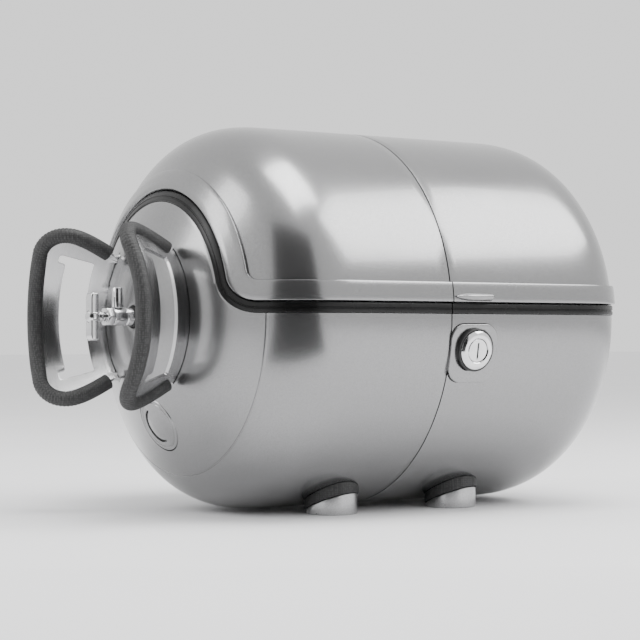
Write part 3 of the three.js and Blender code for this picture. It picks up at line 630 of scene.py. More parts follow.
def cap_grid(name, rings, slot_ring):
    """Whole rings inside the arch. Their angles carry on those of the rings that the seam crosses.

    Between the slot ring and the next one, the faces that the two ears pass through are left out."""
    angles = spaced(-math.pi - ARCH_TILT, ARCH_TILT, SKIN_COLUMNS)[:-1]
    angles += spaced(ARCH_TILT, math.pi - ARCH_TILT, ARCH_COLUMNS)[:-1]
    count = len(angles)
    points = [skin_point(r, y, a) for r, y in rings for a in angles]
    faces = []
    for face in grid_faces(len(rings), count, closed=True):
        ring, column = divmod(face[0], count)
        following = angles[(column + 1) % count]
        middle = angles[column] + (following - angles[column]) % (2 * math.pi) / 2
        from_ear = min(middle % math.pi, -middle % math.pi)
        if ring != slot_ring or from_ear >= EAR_SLOT_HALF:
            faces.append(face)
    return add_object(name, points, faces)


def rings_at(radii):
    return [(r, front_y(r)) for r in radii]


def base_row(radius, y, offset=0.0):
    """Points round the base on one ring of the front skin, from seam to seam."""
    crossing = seam_angle(radius, 0, True)
    return [skin_point(radius, y, a, offset) for a in spaced(-math.pi - crossing, crossing, SKIN_COLUMNS)]


# The shallow groove round the front crown, as (radius, depth) pairs, and the skin on both sides of it.
GROOVE = [(121.7, 0.0), (122.1, -0.1), (122.3, -0.5), (122.9, -0.5), (123.1, -0.1), (123.5, 0.0)]
GROOVE_INNER, GROOVE_OUTER = 121.4, 123.8


def base_front():
    slot_ring = 14
    inner = spaced(VALVE_HOLE, EAR_SLOT_INNER, slot_ring) + [EAR_SLOT_OUTER]
    inner += spaced(EAR_SLOT_OUTER + 2.5, ARCH_RADIUS, 8)
    middle = cap_grid("middle", rings_at(inner), slot_ring)
    radii = fillet_radii(0)
    radii += spaced(radii[-1], GROOVE_INNER, 3)[1:]
    shell = shell_grid("base_front_skin", rings_at(radii))
    curve = front_rings(GROOVE_OUTER)
    rows = [base_row(radii[-1], front_y(radii[-1]))]
    rows += [base_row(radius, front_y(radius), depth) for radius, depth in GROOVE]
    rows.append(base_row(*curve[0]))
    points = [p for row in rows for p in row]
    groove = add_object("groove", points, grid_faces(len(rows), SKIN_COLUMNS + 1))
    outer = shell_grid("outer", curve + FRONT_SIDES)
    return joined(shell, [middle, groove, outer])


def base_rear():
    rings = REAR_SIDES + rear_rings(SEAM_Z + HAIR)
    shell = shell_grid("base_rear_skin", rings, arched=False)
    edge = [skin_point(*rings[-1], a) for a in spaced(-1.5 * math.pi, 0.5 * math.pi, 24)[:-1]]
    tip = add_object("tip", edge, [tuple(range(len(edge)))])
    return joined(shell, [tip])


def lid_front():
    rings = rings_at(fillet_radii(LID_EDGE)) + front_rings(math.hypot(FILLET_X, SEAM_Z + LID_EDGE))[1:]
    return shell_grid("lid_front_skin", rings + FRONT_SIDES, LID_EDGE, above=True)


def lid_rear():
    rings = REAR_SIDES + rear_rings(SEAM_Z + LID_EDGE + HAIR)
    return shell_grid("lid_rear_skin", rings, LID_EDGE, above=True, arched=False)


def seam_track(distance, front):
    """Stations along the seam at a distance from the base's edge, as (x, z, skin y), on the +X side."""
    level = SEAM_Z + distance
    stations = []
    if front:
        bends = arc(0, 0, ARCH_RADIUS + distance, math.pi / 2, ARCH_TILT, ARCH_STEPS)
        bends += fillet_arc(distance)[1:]
        stations = [(x, z, front_y(math.hypot(x, z))) for x, z in bends]
        rings = front_rings(math.hypot(FILLET_X, level))[1:] + FRONT_SIDES
    else:
        rings = REAR_SIDES + rear_rings(level + HAIR)
    return stations + [(math.sqrt(max(radius**2 - level**2, 0)), level, y) for radius, y in rings]


def seam_strip(name, section, front):
    """A closed strip along the whole seam; section holds (distance, offset) points in order."""
    columns = []
    for distance, offset in section:
        track = []
        for x, z, y in seam_track(distance, front):
            track.append(skin_point(math.hypot(x, z), y, math.atan2(z, x), offset))
        mirrored = [(-x, y, z) for x, y, z in track]
        columns.append(mirrored[::-1] + track[1:] if front else track + mirrored[::-1][1:])
    points = [point for row in zip(*columns) for point in row]
    return tidy(add_object(name, points, tube_faces(len(columns[0]), len(section))))


def band_section():
    """The raised band: a soft lower edge over the seal and a crisp step at its upper line."""
    return [
        (LID_EDGE, -1.0), (LID_EDGE, 1.9), (LID_EDGE + 0.3, 2.6), (LID_EDGE + 1.1, BAND_PROUD),
        (LID_EDGE + 5, BAND_PROUD), (BAND_TOP - 5, BAND_PROUD), (BAND_TOP - 1.2, BAND_PROUD),
        (BAND_TOP - 0.4, 2.7), (BAND_TOP, 1.9), (BAND_TOP, -1.0),
    ]


def seal_section():
    return [
        (0.3, -7.5), (0.3, 0.1), (0.7, 0.6), (1.5, 0.8), (3.2, 0.8), (3.6, 0.2), (4.2, 0.2), (4.6, 0.8),
        (7.3, 0.8), (8.0, 0.5), (8.4, 0.0), (8.4, -7.5),
    ]


def lock_place():
    turn = Matrix.Rotation(LOCK_ANGLE, 4, "Y")
    return Matrix.Translation((0, LOCK_Y, 0)) @ turn @ Matrix.Rotation(math.pi / 2, 4, "Y")


def port_place():
    radius = math.hypot(PORT_X, PORT_Z)
    radial, axial = skin_normal(radius, front_y(radius))
    normal = Vector((radial * PORT_X / radius, axial, radial * PORT_Z / radius))
    turn = normal.to_track_quat("Z", "Y").to_matrix().to_4x4()
    return Matrix.Translation((PORT_X, front_y(radius), PORT_Z)) @ turn


LOCK = lock_place()
PORT = port_place()


def plate_outline(size, corner):
    """Outline of the lock plate. X of the lock's place points down, the way the plate is moved."""
    return [(x + PLATE_DROP, y) for x, y in rounded_square(size, corner)]


def walled(skin, edge):
    """A skin with its wall and rounded edges."""
    return bevelled(tidy(thickened(tidy(skin), WALL)), edge, 2, 60)


def build_shells():
    shell = walled(base_front(), 0.45)
    cutter = revolve("cutter", rod_profile(PORT_RADIUS + 0.6, -12, 12), PORT, 96)
    carved(shell, cutter)
    finish_piece(shell, "base", "silver_paint", "base_front_shell")

    shell = walled(base_rear(), 0.45)
    cutter = prism("cutter", plate_outline(PLATE_SIZE + 0.9, PLATE_CORNER + 0.4), *LOCK_CUT, LOCK)
    carved(shell, cutter)
    finish_piece(shell, "base", "silver_paint", "base_rear_shell")

    for place, skin in (("front", lid_front()), ("rear", lid_rear())):
        band = seam_strip("band", band_section(), place == "front")
        lid = joined(walled(skin, 0.4), [band])
        finish_piece(lid, "lid", "silver_paint", f"lid_{place}_shell")
        seal = seam_strip(f"seal_{place}", seal_section(), place == "front")
        finish_piece(seal, "base", "black_seal", f"{place}_seal")


build_shells()


# ---------- handles ----------

def cone_point(along, slant, off=0.0):
    """A point of the ears' cone: unrolled distance along it, and slant distance from its root."""
    angle = along / EAR_MEAN
    if slant < 0:
        radius, y = EAR_ROOT_RADIUS + off, EAR_ROOT_Y - slant
    else:
        radius = EAR_ROOT_RADIUS + slant * math.sin(EAR_FLARE) + off * math.cos(EAR_FLARE)
        y = EAR_ROOT_Y - slant * math.cos(EAR_FLARE) + off * math.sin(EAR_FLARE)
    return Vector((radius * math.cos(angle), y, radius * math.sin(angle)))


def ear_edge(start, corner_steps, side_steps):
    """Unrolled edge of an ear from its root, up one side, round the corner and to its middle."""
    corner_slant = EAR_LENGTH + EAR_BOW - EAR_CORNER
    corner_along = EAR_WIDE_HALF - EAR_CORNER
    side = []
    for slant in spaced(start, corner_slant, side_steps)[:-1]:
        share = (slant - start) / (corner_slant - start)
        side.append((EAR_ROOT_HALF + (EAR_WIDE_HALF - EAR_ROOT_HALF) * math.sin(share * math.pi / 2), slant))
    corner = arc(corner_along, corner_slant, EAR_CORNER, 0, math.pi / 2, corner_steps)
    bow = [
        (corner_along * share, EAR_LENGTH + EAR_BOW * share**2)
        for share in spaced(1, 0, 3 * side_steps)[1:]
    ]
    return side + corner + bow


def softened(outline, radius, steps=4):
    """Rounds every corner of an outline."""
    soft = []
    for i, corner in enumerate(map(Vector, outline)):
        before = Vector(outline[i - 1])
        after = Vector(outline[(i + 1) % len(outline)])
        reach = min(radius, (before - corner).length / 2.2, (after - corner).length / 2.2)
        start = corner + (before - corner).normalized() * reach
        end = corner + (after - corner).normalized() * reach
        for t in spaced(0, 1, steps):
            soft.append(tuple(start * (1 - t) ** 2 + corner * 2 * t * (1 - t) + end * t**2))
    return soft


def ear_window():
    side = WINDOW_HALF * EAR_MEAN
    notch = side - WINDOW_NOTCH_WIDTH
    top = WINDOW_END + WINDOW_NOTCH
    corners = [
        (side, WINDOW_START), (side, top), (notch, top), (notch, WINDOW_END),
        (-notch, WINDOW_END), (-notch, top), (-side, top), (-side, WINDOW_START),
    ]
    return softened(corners, WINDOW_CORNER)


def ear_sheet(name):
    """The flat blank is filled, cut into narrow strips and rolled onto the cone."""
    half = [(EAR_ROOT_WIDE, -EAR_ROOT_DEPTH), (EAR_ROOT_WIDE, -0.4)] + ear_edge(4.0, 14, 6)
    outline = half + [(-u, s) for u, s in half[::-1][1:]]
    work = bmesh.new()
    for loop in (outline, ear_window()):
        verts = [work.verts.new((u, s, 0)) for u, s in loop]
        for i, vert in enumerate(verts):
            work.edges.new((vert, verts[(i + 1) % len(verts)]))
    bmesh.ops.triangle_fill(work, use_beauty=True, edges=work.edges[:])
    cuts = [(Vector((u, 0, 0)), Vector((1, 0, 0))) for u in spaced(1 - EAR_ROOT_WIDE, EAR_ROOT_WIDE - 1, 46)]
    cuts += [(Vector((0, slant, 0)), Vector((0, 1, 0))) for slant in (-5, 0, 6, 12, 26, 44)]
    for place, normal in cuts:
        parts = work.verts[:] + work.edges[:] + work.faces[:]
        bmesh.ops.bisect_plane(work, geom=parts, plane_co=place, plane_no=normal)
    for vert in work.verts:
        vert.co = to_frame(cone_point(vert.co.x, vert.co.y, EAR_SHEET / 2))
    mesh = bpy.data.meshes.new(name)
    work.to_mesh(mesh)
    work.free()
    piece = tidy(in_scene(name, mesh))
    outwards = sum(face.normal.x * face.area for face in piece.data.polygons)
    if outwards < 0:
        piece.data.flip_normals()
    return bevelled(thickened(piece, EAR_SHEET), 0.6, 3, 50)


def grip(name):
    """A rubber tube round the ear's edge, with ribs moulded into its bends."""
    half = ear_edge(GRIP_START, 34, 14)
    path = [cone_point(u, s) for u, s in half + [(-u, s) for u, s in half[::-1][1:]]]
    lengths = [0.0]
    for a, b in zip(path, path[1:]):
        lengths.append(lengths[-1] + (b - a).length)
    total = lengths[-1]
    count = int(total / GRIP_STEP)
    points = []
    place = 0
    for i in range(count + 1):
        goal = total * i / count
        while place < len(path) - 2 and lengths[place + 1] < goal:
            place += 1
        share = (goal - lengths[place]) / (lengths[place + 1] - lengths[place])
        points.append(path[place].lerp(path[place + 1], share))

    def radius_at(i):
        goal = total * i / count
        edge = min(goal, total - goal)
        fade = max(0.0, 1 - ((edge - total * GRIP_BEND) / RIB_REACH) ** 4)
        ribs = RIB_DEPTH * fade * (0.5 - 0.5 * math.cos(2 * math.pi * goal / RIB_PITCH))
        rounding = GRIP_ROUND - math.sqrt(max(GRIP_ROUND**2 - max(GRIP_ROUND - edge, 0) ** 2, 0))
        return GRIP_RADIUS - ribs - rounding

    return sweep(name, points, radius_at, 28)


def mirrored_copy(piece, name):
    copy = in_scene(name, piece.data.copy())
    copy.data.transform(Matrix.Scale(-1, 4, (1, 0, 0)))
    copy.data.flip_normals()
    return copy


def build_handles():
    right = ear_sheet("handle_ear_right")
    left = mirrored_copy(right, "handle_ear_left")
    finish_piece(right, "base", "satin_steel", "right_handle_ear")
    finish_piece(left, "base", "satin_steel", "left_handle_ear")
    right = grip("grip_tube_right")
    left = mirrored_copy(right, "grip_tube_left")
    finish_piece(right, "base", "grip_rubber", "right_grip", degrees=60)
    finish_piece(left, "base", "grip_rubber", "left_grip", degrees=60)


# ---------- valve ----------

# Heights along this place are distances out along the long axis, towards the handles.
FORWARD = Matrix.Rotation(math.pi / 2, 4, "X")


def hexagon(across, sides=8):
    """A hexagon whose flats are split into pieces, so that a round hole can be matched to it."""
    corners = [Vector(corner) for corner in arc(0, 0, across, 0, 2 * math.pi, 6)]
    return [tuple(a.lerp(b, j / sides)) for a, b in zip(corners, corners[1:]) for j in range(sides)]


def matched_circle(outline, radius):
    angles = [math.atan2(y, x) for x, y in outline]
    return [(radius * math.cos(a), radius * math.sin(a)) for a in angles]


def build_valve():
    """Profiles are (radius, height) points."""
    body = revolve("valve_tube", [
        (2.2, 160), (6.75, 160), (6.75, 196.4), (6.2, 196.8), (6.2, 198.2), (6.75, 198.6),
        (6.75, 207.6), (6.4, 208), (4.6, 208), (4.6, 164), (2.2, 164),
    ], FORWARD)
    finish_piece(bevelled(body, 0.25, 2), "base", "lock_chrome", "valve_body")
    grommet = revolve("valve_seal_ring", [
        (7.05, 185.8), (8.6, 185.8), (8.7, 189.6), (8.5, 190.8), (7.9, 191.4), (7.05, 191.4)], FORWARD)
    finish_piece(grommet, "base", "black_seal", "valve_grommet")

    spout_profile = [(2.6, 7.05), (4.3, 7.05), (4.4, 7.3), (4.4, 21.5), (4.1, 22), (2.9, 22), (2.6, 21.7)]
    spout = revolve("outlet_spout", spout_profile, Matrix.Translation((0, SPIGOT_Y, 0)), 40)
    finish_piece(spout, "base", "lock_chrome", "outlet_spigot")

    outline = hexagon(7.4)
    nut = prism("gland_nut", outline, 208.3, 214.5, FORWARD, matched_circle(outline, 3.3))
    finish_piece(bevelled(nut, 0.6, 3), "base", "lock_chrome", "valve_gland")

    plunger = revolve("plunger_disc", [
        (0, 164.6), (3.9, 164.6), (4.3, 165), (4.3, 169.6), (3.9, 170), (0, 170)], FORWARD)
    finish_piece(plunger, "plunger", "black_seal", "valve_plunger")
    stem = revolve("stem_rod", [
        (0, 170.3), (3, 170.3), (3, 216.4), (3.7, 216.5), (4.1, 217.1), (4.1, 218.9), (3.7, 219.5),
        (3, 219.6), (3, 220.7), (0, 220.7)], FORWARD, 40)
    finish_piece(stem, "tap", "lock_chrome", "valve_stem")

    hub = revolve("tap_handle", [
        (0, 221), (4.6, 221), (5.4, 221.9), (5.6, 223), (5.6, 226), (5.2, 227.4), (3.6, 228.9), (0, 229.5),
    ], FORWARD, 48)
    across = Matrix(((0, 0, 1, 0), (0, -1, 0, 0), (1, 0, 0, 0), (0, 0, 0, 1)))
    corners = [(-18, 221.3), (18, 221.3), (18, 227.2), (15, 228), (-15, 228), (-18, 227.2)]
    bar = bevelled(prism("bar", softened(corners, 1.6), -4.6, 4.6, across), 1.5, 4, 50)
    finish_piece(joined(hub, [bar]), "tap", "lock_chrome", "t_handle")


# ---------- drain port ----------

def crescent_outline():
    """The finger slot, 120 to 285 degrees round the cap, widest in the middle and with round ends."""
    radius, end_half, swell = 13.5, 0.9, 1.0
    start, end = math.radians(120), math.radians(285)
    outer = []
    inner = []
    for share in spaced(0, 1, 30):
        angle = start + (end - start) * share
        half = end_half + swell * math.sin(math.pi * share)
        outer.append(((radius + half) * math.cos(angle), (radius + half) * math.sin(angle)))
        inner.append(((radius - half) * math.cos(angle), (radius - half) * math.sin(angle)))
    tip = (radius * math.cos(end), radius * math.sin(end))
    tail = (radius * math.cos(start), radius * math.sin(start))
    outer += arc(*tip, end_half, end, end + math.pi, 6)[1:-1]
    inner = inner[::-1] + arc(*tail, end_half, start + math.pi, start + 2 * math.pi, 6)[1:-1]
    return outer + inner


def build_port():
    cap = revolve("port_cap_disc", [
        (0, -10), (17.6, -10), (17.6, -3), (22, -3), (22, -1.5), (21.5, -0.9), (19.4, -0.85),
        (19.0, -1.15), (18.6, -1.15), (18.2, -0.75), (12, -0.1), (6, 0.2), (0, 0.3),
    ], PORT, 96)
    carved(cap, prism("cutter", crescent_outline(), -5, 6, PORT))
    finish_piece(bevelled(cap, 0.18, 2, 50), "port", "silver_paint", "port_cap")
    washer = revolve("port_seal_ring", [
        (18.3, -5.2), (21.2, -5.2), (21.6, -4.8), (21.6, -3.8), (21.2, -3.4), (18.3, -3.4)], PORT, 72)
    finish_piece(washer, "port_ring", "black_seal", "port_washer")
    seat = revolve("port_seat_ring", ring_profile(18.3, 25, -10, -5.7), PORT, 72)
    finish_piece(bevelled(seat, 0.3, 2), "base", "black_plastic", "port_seat")


# ---------- lock ----------

PLATE_BACK, PLATE_FACE = 146.6, 151.2
BEZEL_FACE = 154.4
BUTTON_BACK, BUTTON_FACE = 138.0, 156.6
KEY_RADIUS, KEY_FACE = 9.0, 156.2
KEYWAY_HALF_LENGTH, KEYWAY_HALF_WIDTH, KEYWAY_DEPTH = 5.85, 0.75, 6.0


def build_lock():
    """Heights along the lock's place are distances out from the long axis."""
    outline = plate_outline(PLATE_SIZE, PLATE_CORNER)
    plate = prism("lock_escutcheon", outline, PLATE_BACK, PLATE_FACE, LOCK, matched_circle(outline, 16.9))
    finish_piece(bevelled(plate, 0.8, 4, 50), "base", "silver_paint", "lock_plate")
    collar = revolve("lock_collar", ring_profile(15.3, 16.5, 140, BEZEL_FACE), LOCK, 96)
    finish_piece(bevelled(collar, 0.35, 3), "base", "black_plastic", "lock_bezel")
    head = revolve("lock_push_head", [
        (KEY_RADIUS + 0.3, BUTTON_BACK), (15, BUTTON_BACK), (15, BUTTON_FACE - 2.1),
        (14.8, BUTTON_FACE - 1.6), (12.7, BUTTON_FACE - 0.1), (12.3, BUTTON_FACE), (9.9, BUTTON_FACE),
        (KEY_RADIUS + 0.3, BUTTON_FACE - 0.5)], LOCK, 96)
    finish_piece(head, "button", "lock_chrome", "lock_button", degrees=24)
    key = revolve("key_barrel", [
        (0, 120.6), (3, 120.6), (3, 131.4), (KEY_RADIUS, 131.4), (KEY_RADIUS, KEY_FACE - 0.5),
        (KEY_RADIUS - 0.5, KEY_FACE), (0, KEY_FACE)], LOCK, 80)
    x, y = KEYWAY_HALF_LENGTH, KEYWAY_HALF_WIDTH
    keyway = [(-x, -y), (x, -y), (x, y), (-x, y)]
    cutter = prism("cutter", keyway, KEY_FACE - KEYWAY_DEPTH, LOCK_CUT[1], LOCK)
    carved(key, cutter)
    finish_piece(bevelled(key, 0.2, 2, 50), "key", "lock_chrome", "key_cylinder")


def finger_lip():
    """Bar under the fingers on the lid, hollowed below, whose front end runs out to a point."""
    profile = [
        (153.0, 12.0), (154.6, 12.2), (155.6, 12.9), (156.5, 13.9), (157.3, 14.8), (157.4, 15.6),
        (156.9, 16.4), (156.0, 16.9), (154.8, 17.3), (153.0, 17.6)]
    base_x, base_z = 153.0, 15.4
    # The bar's sections as (y, size), from the point to the rounded rear end.
    stations = [
        (3.0, 0.1), (5.5, 0.45), (9.0, 0.78), (13.0, 0.95), (17.0, 1.0),
        (35.8, 1.0), (36.7, 0.9), (37.0, 0.7),
    ]
    points = []
    for y, size in stations:
        points += [(base_x + (x - base_x) * size, y, base_z + (z - base_z) * size) for x, z in profile]
    lip = tidy(add_object("finger_lip", points, tube_faces(len(stations), len(profile))))
    finish_piece(lip, "lid", "silver_paint", "finger_pull", degrees=50)


# ---------- feet ----------

FLOOR_Z = -152.5
FOOT_RADIUS, SADDLE_RADIUS = 20.0, 21.2
PARTING_Z, PARTING_SLOPE_X, PARTING_SLOPE_Y = -143.0, 0.36, 0.12
PARTING_GAP = 0.3


def drum(name, middle, radius, low_at, high_at, sides=72):
    """An upright drum whose ends follow the two given height functions."""
    places = [(0.0, 0.0)]
    places += arc(0, 0, radius, 0, 2 * math.pi, sides)[:-1]
    points = []
    for height_at in (low_at, high_at):
        points += [(middle[0] + x, middle[1] + y, height_at(x, y)) for x, y in places]
    count = len(places)
    faces = []
    for i in range(1, count):
        k = i % sides + 1
        faces += [(i, k, count + k, count + i), (k, i, 0), (count + i, count + k, count)]
    return tidy(add_object(name, points, faces))


def build_foot(place, name, middle, side):
    def parting(dx, dy):
        """Slanted plane between the metal foot and its rubber saddle, from the foot's middle."""
        return PARTING_Z + PARTING_SLOPE_X * side * dx + PARTING_SLOPE_Y * dy

    def skin(dx, dy):
        return -math.sqrt((BODY_RADIUS + 0.2) ** 2 - (middle[0] + dx) ** 2)

    foot = drum(f"metal_foot_{place}_{name}", middle, FOOT_RADIUS,
                lambda dx, dy: FLOOR_Z, lambda dx, dy: parting(dx, dy) - PARTING_GAP)
    finish_piece(bevelled(foot, 1.0, 4), "base", "foot_alloy", f"foot_{place}_{name}")
    saddle = drum(f"rubber_saddle_{place}_{name}", middle, SADDLE_RADIUS, parting, skin)
    finish_piece(bevelled(saddle, 0.7, 3), "base", "grip_rubber", f"foot_saddle_{place}_{name}")


def build_feet():
    for place, y in FOOT_Y.items():
        for name, side in (("left", -1), ("right", 1)):
            build_foot(place, name, (side * FOOT_X, y), side)


# ---------- hinges ----------

HINGE_X, HINGE_Z = -155.4, 6.5
HINGE_Y = {"front": -52.0, "rear": 92.0}
LEAF_HALF = 23.8


def leaf(name, y, low_angle, high_angle, inner, outer):
    """A plate rolled to the housing's side, between two angles above the level of the axis."""
    outline = arc(0, 0, outer, math.pi - low_angle, math.pi - high_angle, 12)
    outline += arc(0, 0, inner, math.pi - high_angle, math.pi - low_angle, 12)
    return bevelled(prism(name, outline, -y - LEAF_HALF, -y + LEAF_HALF, FORWARD), 0.5, 3, 50)


def hinge_web(outline, y, start, end):
    return bevelled(prism("web", outline, -y + start, -y + end, FORWARD), 0.4, 2, 50)


def build_hinge(place, y):
    axle = Matrix.Translation((HINGE_X, y, HINGE_Z)) @ FORWARD

    def knuckle(start, end):
        return bevelled(revolve("knuckle", ring_profile(1.95, 3.55, start, end), axle, 48), 0.35, 3)

    base = leaf(f"hinge_base_plate_{place}", y, low_angle=-0.132, high_angle=0.011, inner=150.3, outer=152.3)
    web = [(-156.4, -1.8), (-151.4, -1.8), (-151.4, 1.6), (-153.4, 4.2), (-156.4, 6.2)]
    parts = []
    for start, end in ((-24, -11.3), (11.3, 24)):
        parts += [knuckle(start, end), hinge_web(web, y, start, end)]
    finish_piece(joined(base, parts), "base", "satin_steel", f"hinge_base_leaf_{place}")

    lid = leaf(f"hinge_lid_plate_{place}", y, low_angle=0.079, high_angle=0.154, inner=153.3, outer=155.6)
    web = [(-156.4, 7), (-153.4, 8.8), (-152.9, 12.6), (-155.2, 13), (-156.4, 12)]
    parts = [knuckle(-11, 11), hinge_web(web, y, -11, 11)]
    finish_piece(joined(lid, parts), "lid", "satin_steel", f"hinge_lid_leaf_{place}")

    pin = revolve(f"hinge_axle_{place}", rod_profile(1.6, -23.5, 23.5), axle, 32)
    finish_piece(bevelled(pin, 0.4, 3), "base", "lock_chrome", f"hinge_pin_{place}")


def build_hinges():
    for place, y in HINGE_Y.items():
        build_hinge(place, y)


# ---------- inside ----------

KEG_POWER, KEG_WALL = 2.3, 2.0
# Where each domed end starts, and how deep it is.
KEG_FRONT, KEG_REAR = (95, 81), (-118, -62)
LINER_GAP, LINER_WALL = 5.8, 10.0
CRADLE_Y = {"front": -88.0, "rear": 112.0}
CRADLE_INNER, CRADLE_OUTER, CRADLE_TOP = 110.5, 133.0, -48.0
CRADLE_TRIM, CRADLE_HALF = 0.08, 9.0
SPLICE_INNER, SPLICE_MEAN, SPLICE_OUTER, SPLICE_HALF = 145.2, 146.0, 147.0, 13.0
# How far below the axis the base's splice band stops, and how far above it the lid's starts.
SPLICE_BELOW, SPLICE_ABOVE = 1.0, 14.0


def keg_end(middle, depth, inset, angles):
    """Points of one of the keg's domed ends; a negative depth points to the rear."""
    reach = math.copysign(abs(depth) - inset, depth)
    points = []
    for angle in angles:
        radius = (KEG_RADIUS - inset) * math.sin(angle) ** (2 / KEG_POWER)
        points.append((radius, middle + reach * max(math.cos(angle), 0) ** (2 / KEG_POWER)))
    return points


def keg_profile():
    """Wall of the keg, out from its neck and back along the inside, with two rolled beads."""
    neck, quarter = 0.16, math.pi / 2
    outside = keg_end(*KEG_FRONT, 0, spaced(neck, quarter, 22))
    for middle in (58, -76):
        for away, depth in ((4, 0), (2, 0.9), (0, 1.2), (-2, 0.9), (-4, 0)):
            outside.append((KEG_RADIUS - depth, middle + away))
    outside += keg_end(*KEG_REAR, 0, spaced(quarter, 0, 22))
    inside = keg_end(*KEG_FRONT, KEG_WALL, spaced(neck, quarter, 16))
    inside += keg_end(*KEG_REAR, KEG_WALL, spaced(quarter, 0, 16))
    return [(7.2, 181), (12.4, 181), (13, 180.4), (13, 176.5)] + outside + inside[::-1] + [(7.2, 173)]


def pocket(x0, x1, y0, y1, z0, z1):
    return prism("cutter", [(x0, z0), (x1, z0), (x1, z1), (x0, z1)], -y1, -y0, FORWARD)


def liner(name, distance, above, start):
    """A foam shell under the skin, on one side of the seam."""
    first = [r for r in fillet_radii(distance) if r > start]
    if not above:
        first = spaced(start, first[0], 4)[:-1] + first
    rings = rings_at(first) + front_rings(math.hypot(FILLET_X, SEAM_Z + distance), 14)[1:]
    rings += straight_rings(FRONT_STRAIGHT, REAR_STRAIGHT, 16)[1:]
    rings += rear_rings(abs(SEAM_Z + distance) + HAIR, 18)[1:]
    shell = tidy(shell_grid(name, rings, distance, above, -LINER_GAP))
    return tidy(thickened(shell, LINER_WALL))


def curved_bar(name, inner, outer, start, end, trim, middle, half, steps):
    """A bar bent round the long axis; trim takes the inner side in from both ends."""
    outline = arc(0, 0, outer, start, end, steps) + arc(0, 0, inner, end - trim, start + trim, steps)
    return prism(name, outline, -middle - half, -middle + half, FORWARD)


def build_inside():
    keg = revolve("keg_shell", keg_profile(), FORWARD, 128)
    finish_piece(keg, "base", "satin_steel", "keg_vessel")

    foam = liner("foam_base", distance=-2.0, above=False, start=92.0)
    carved(foam, pocket(*LOCK_POCKET))
    finish_piece(bevelled(foam, 1.0, 2, 60), "base", "white_foam", "base_liner")
    foam = liner("foam_lid", distance=11.0, above=True, start=ARCH_RADIUS + 11.2)
    carved(foam, pocket(*STRIKER_POCKET))
    finish_piece(bevelled(foam, 1.0, 2, 60), "lid", "white_foam", "lid_liner")

    for place, y in CRADLE_Y.items():
        low = math.asin(CRADLE_TOP / CRADLE_OUTER)
        size = (CRADLE_INNER, CRADLE_OUTER, -math.pi - low, low, CRADLE_TRIM)
        cradle = curved_bar(f"keg_cradle_{place}", *size, y, CRADLE_HALF, 60)
        finish_piece(bevelled(cradle, 1.2, 3, 50), "base", "black_plastic", f"{place}_cradle")

    low, high = math.asin(SPLICE_BELOW / SPLICE_MEAN), math.asin(SPLICE_ABOVE / SPLICE_MEAN)
    sides = (("base", -math.pi + low, -low, LOCK_POCKET), ("lid", high, math.pi - high, STRIKER_POCKET))
    for body, start, end, opening in sides:
        size = (SPLICE_INNER, SPLICE_OUTER, start, end, 0)
        band = curved_bar(f"splice_band_{body}", *size, SPLIT_Y, SPLICE_HALF, 90)
        carved(band, pocket(*opening))
        finish_piece(band, body, "black_plastic", f"{body}_splice_band")


build_handles()
build_valve()
build_port()
build_lock()
finger_lip()
build_feet()
build_hinges()
build_inside()


# ---------- carried-over CAD nodes ----------

def dress_carried_nodes():
    """Gives every CAD node that still shows its procedural material and softened edges."""
    slots = {part["node"]: part["material_slot"] for part in frame["record"]["subparts"]}
    for name, node in frame["nodes"].items():
        if node.hide_render:
            continue
        node.data.materials.clear()
        node.data.materials.append(MATERIALS[slots[name]])
        add_bevel(node, 0.2, 2, 50)


# ---------- stage ----------

WORLD_STRENGTH = 1.25
# Places and sizes in metres, in the row frame.
FLOOR_REACH = 14.0
SCREEN_MIDDLE = Vector((2.15, -1.45, 0))
SCREEN_ACROSS = Vector((0.56, 0.83, 0))
SCREEN_LEFT, SCREEN_RIGHT, SCREEN_HEIGHT = 1.7, 1.5, 3.1
# The screen's foot starts at this share of the way out to it, and lies just above the floor.
SCREEN_FOOT, SCREEN_LIFT = 0.17, 0.004
# Place, width, height and watts of each soft light.
SOFT_BOXES = {
    "top": ((0.35, 0.05, 1.75), 0.9, 0.9, 24),
    "side": ((0.78, 1.12, 1.4), 1.3, 0.95, 26),
    "front": ((-0.47, -1.45, 1.15), 0.6, 1.0, 9),
}
LIGHT_TARGET = Vector((0, 0, 0.16))


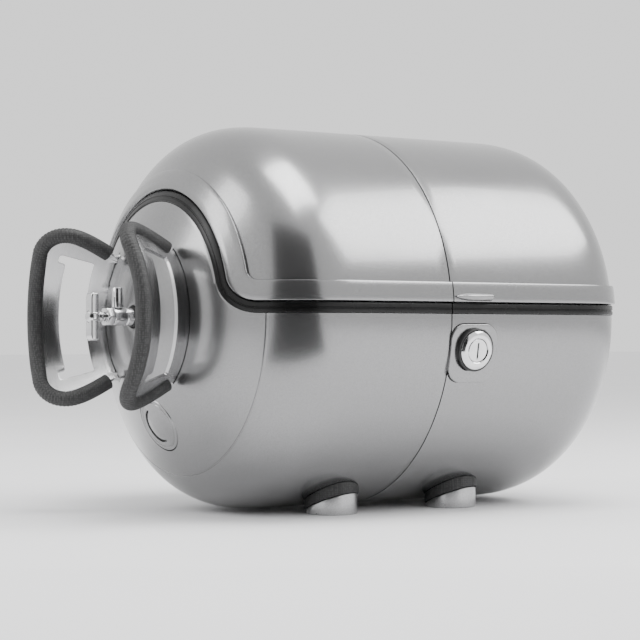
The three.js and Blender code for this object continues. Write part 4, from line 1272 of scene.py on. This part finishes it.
def soft_box(name, place, width, height, power):
    light = in_scene(name, bpy.data.lights.new(name, "AREA"))
    light.data.shape = "RECTANGLE"
    light.data.size = width
    light.data.size_y = height
    light.data.energy = power
    light.location = place
    light.rotation_mode = "QUATERNION"
    light.rotation_quaternion = (LIGHT_TARGET - Vector(place)).to_track_quat("-Z", "Y")


def studio_sheet(name, corners, material):
    mesh = bpy.data.meshes.new(name)
    mesh.from_pydata(corners, [], [(0, 1, 2, 3)])
    mesh.materials.append(material)
    sheet = in_scene(name, mesh)
    return sheet


def matt_paint(name, low, high):
    def paint(tree, shader):
        tone(tree, shader, noise(tree, scale=3), low, high)
        shader.inputs["Roughness"].default_value = 0.9

    return new_material(name, paint)


def dark_screen():
    """A dark screen and its foot behind the camera, which the front shoulder mirrors as a stripe."""
    left = SCREEN_MIDDLE - SCREEN_ACROSS * SCREEN_LEFT
    right = SCREEN_MIDDLE + SCREEN_ACROSS * SCREEN_RIGHT
    top = Vector((0, 0, SCREEN_HEIGHT))
    lift = Vector((0, 0, SCREEN_LIFT))
    dark = matt_paint("screen_paint", 0.01, 0.014)
    screen = [left, right, right + top, left + top]
    foot = [left + lift, right + lift, right * SCREEN_FOOT + lift, left * SCREEN_FOOT + lift]
    for name, corners in (("screen", screen), ("screen_foot", foot)):
        sheet = studio_sheet(name, corners, dark)
        sheet.visible_camera = False
        sheet.visible_shadow = False
        sheet.visible_diffuse = False


def make_stage():
    corners = [(FLOOR_REACH * x, FLOOR_REACH * y, 0) for x, y in ((-1, -1), (1, -1), (1, 1), (-1, 1))]
    studio_sheet("floor", corners, matt_paint("floor_paint", 0.87, 0.89))
    dark_screen()

    world = bpy.data.worlds.new("studio")
    world.use_nodes = True
    background = world.node_tree.nodes["Background"]
    background.inputs["Color"].default_value = (1, 1, 1, 1)
    background.inputs["Strength"].default_value = WORLD_STRENGTH
    bpy.context.scene.world = world

    for name, settings in SOFT_BOXES.items():
        soft_box(name, *settings)


dress_carried_nodes()
make_stage()
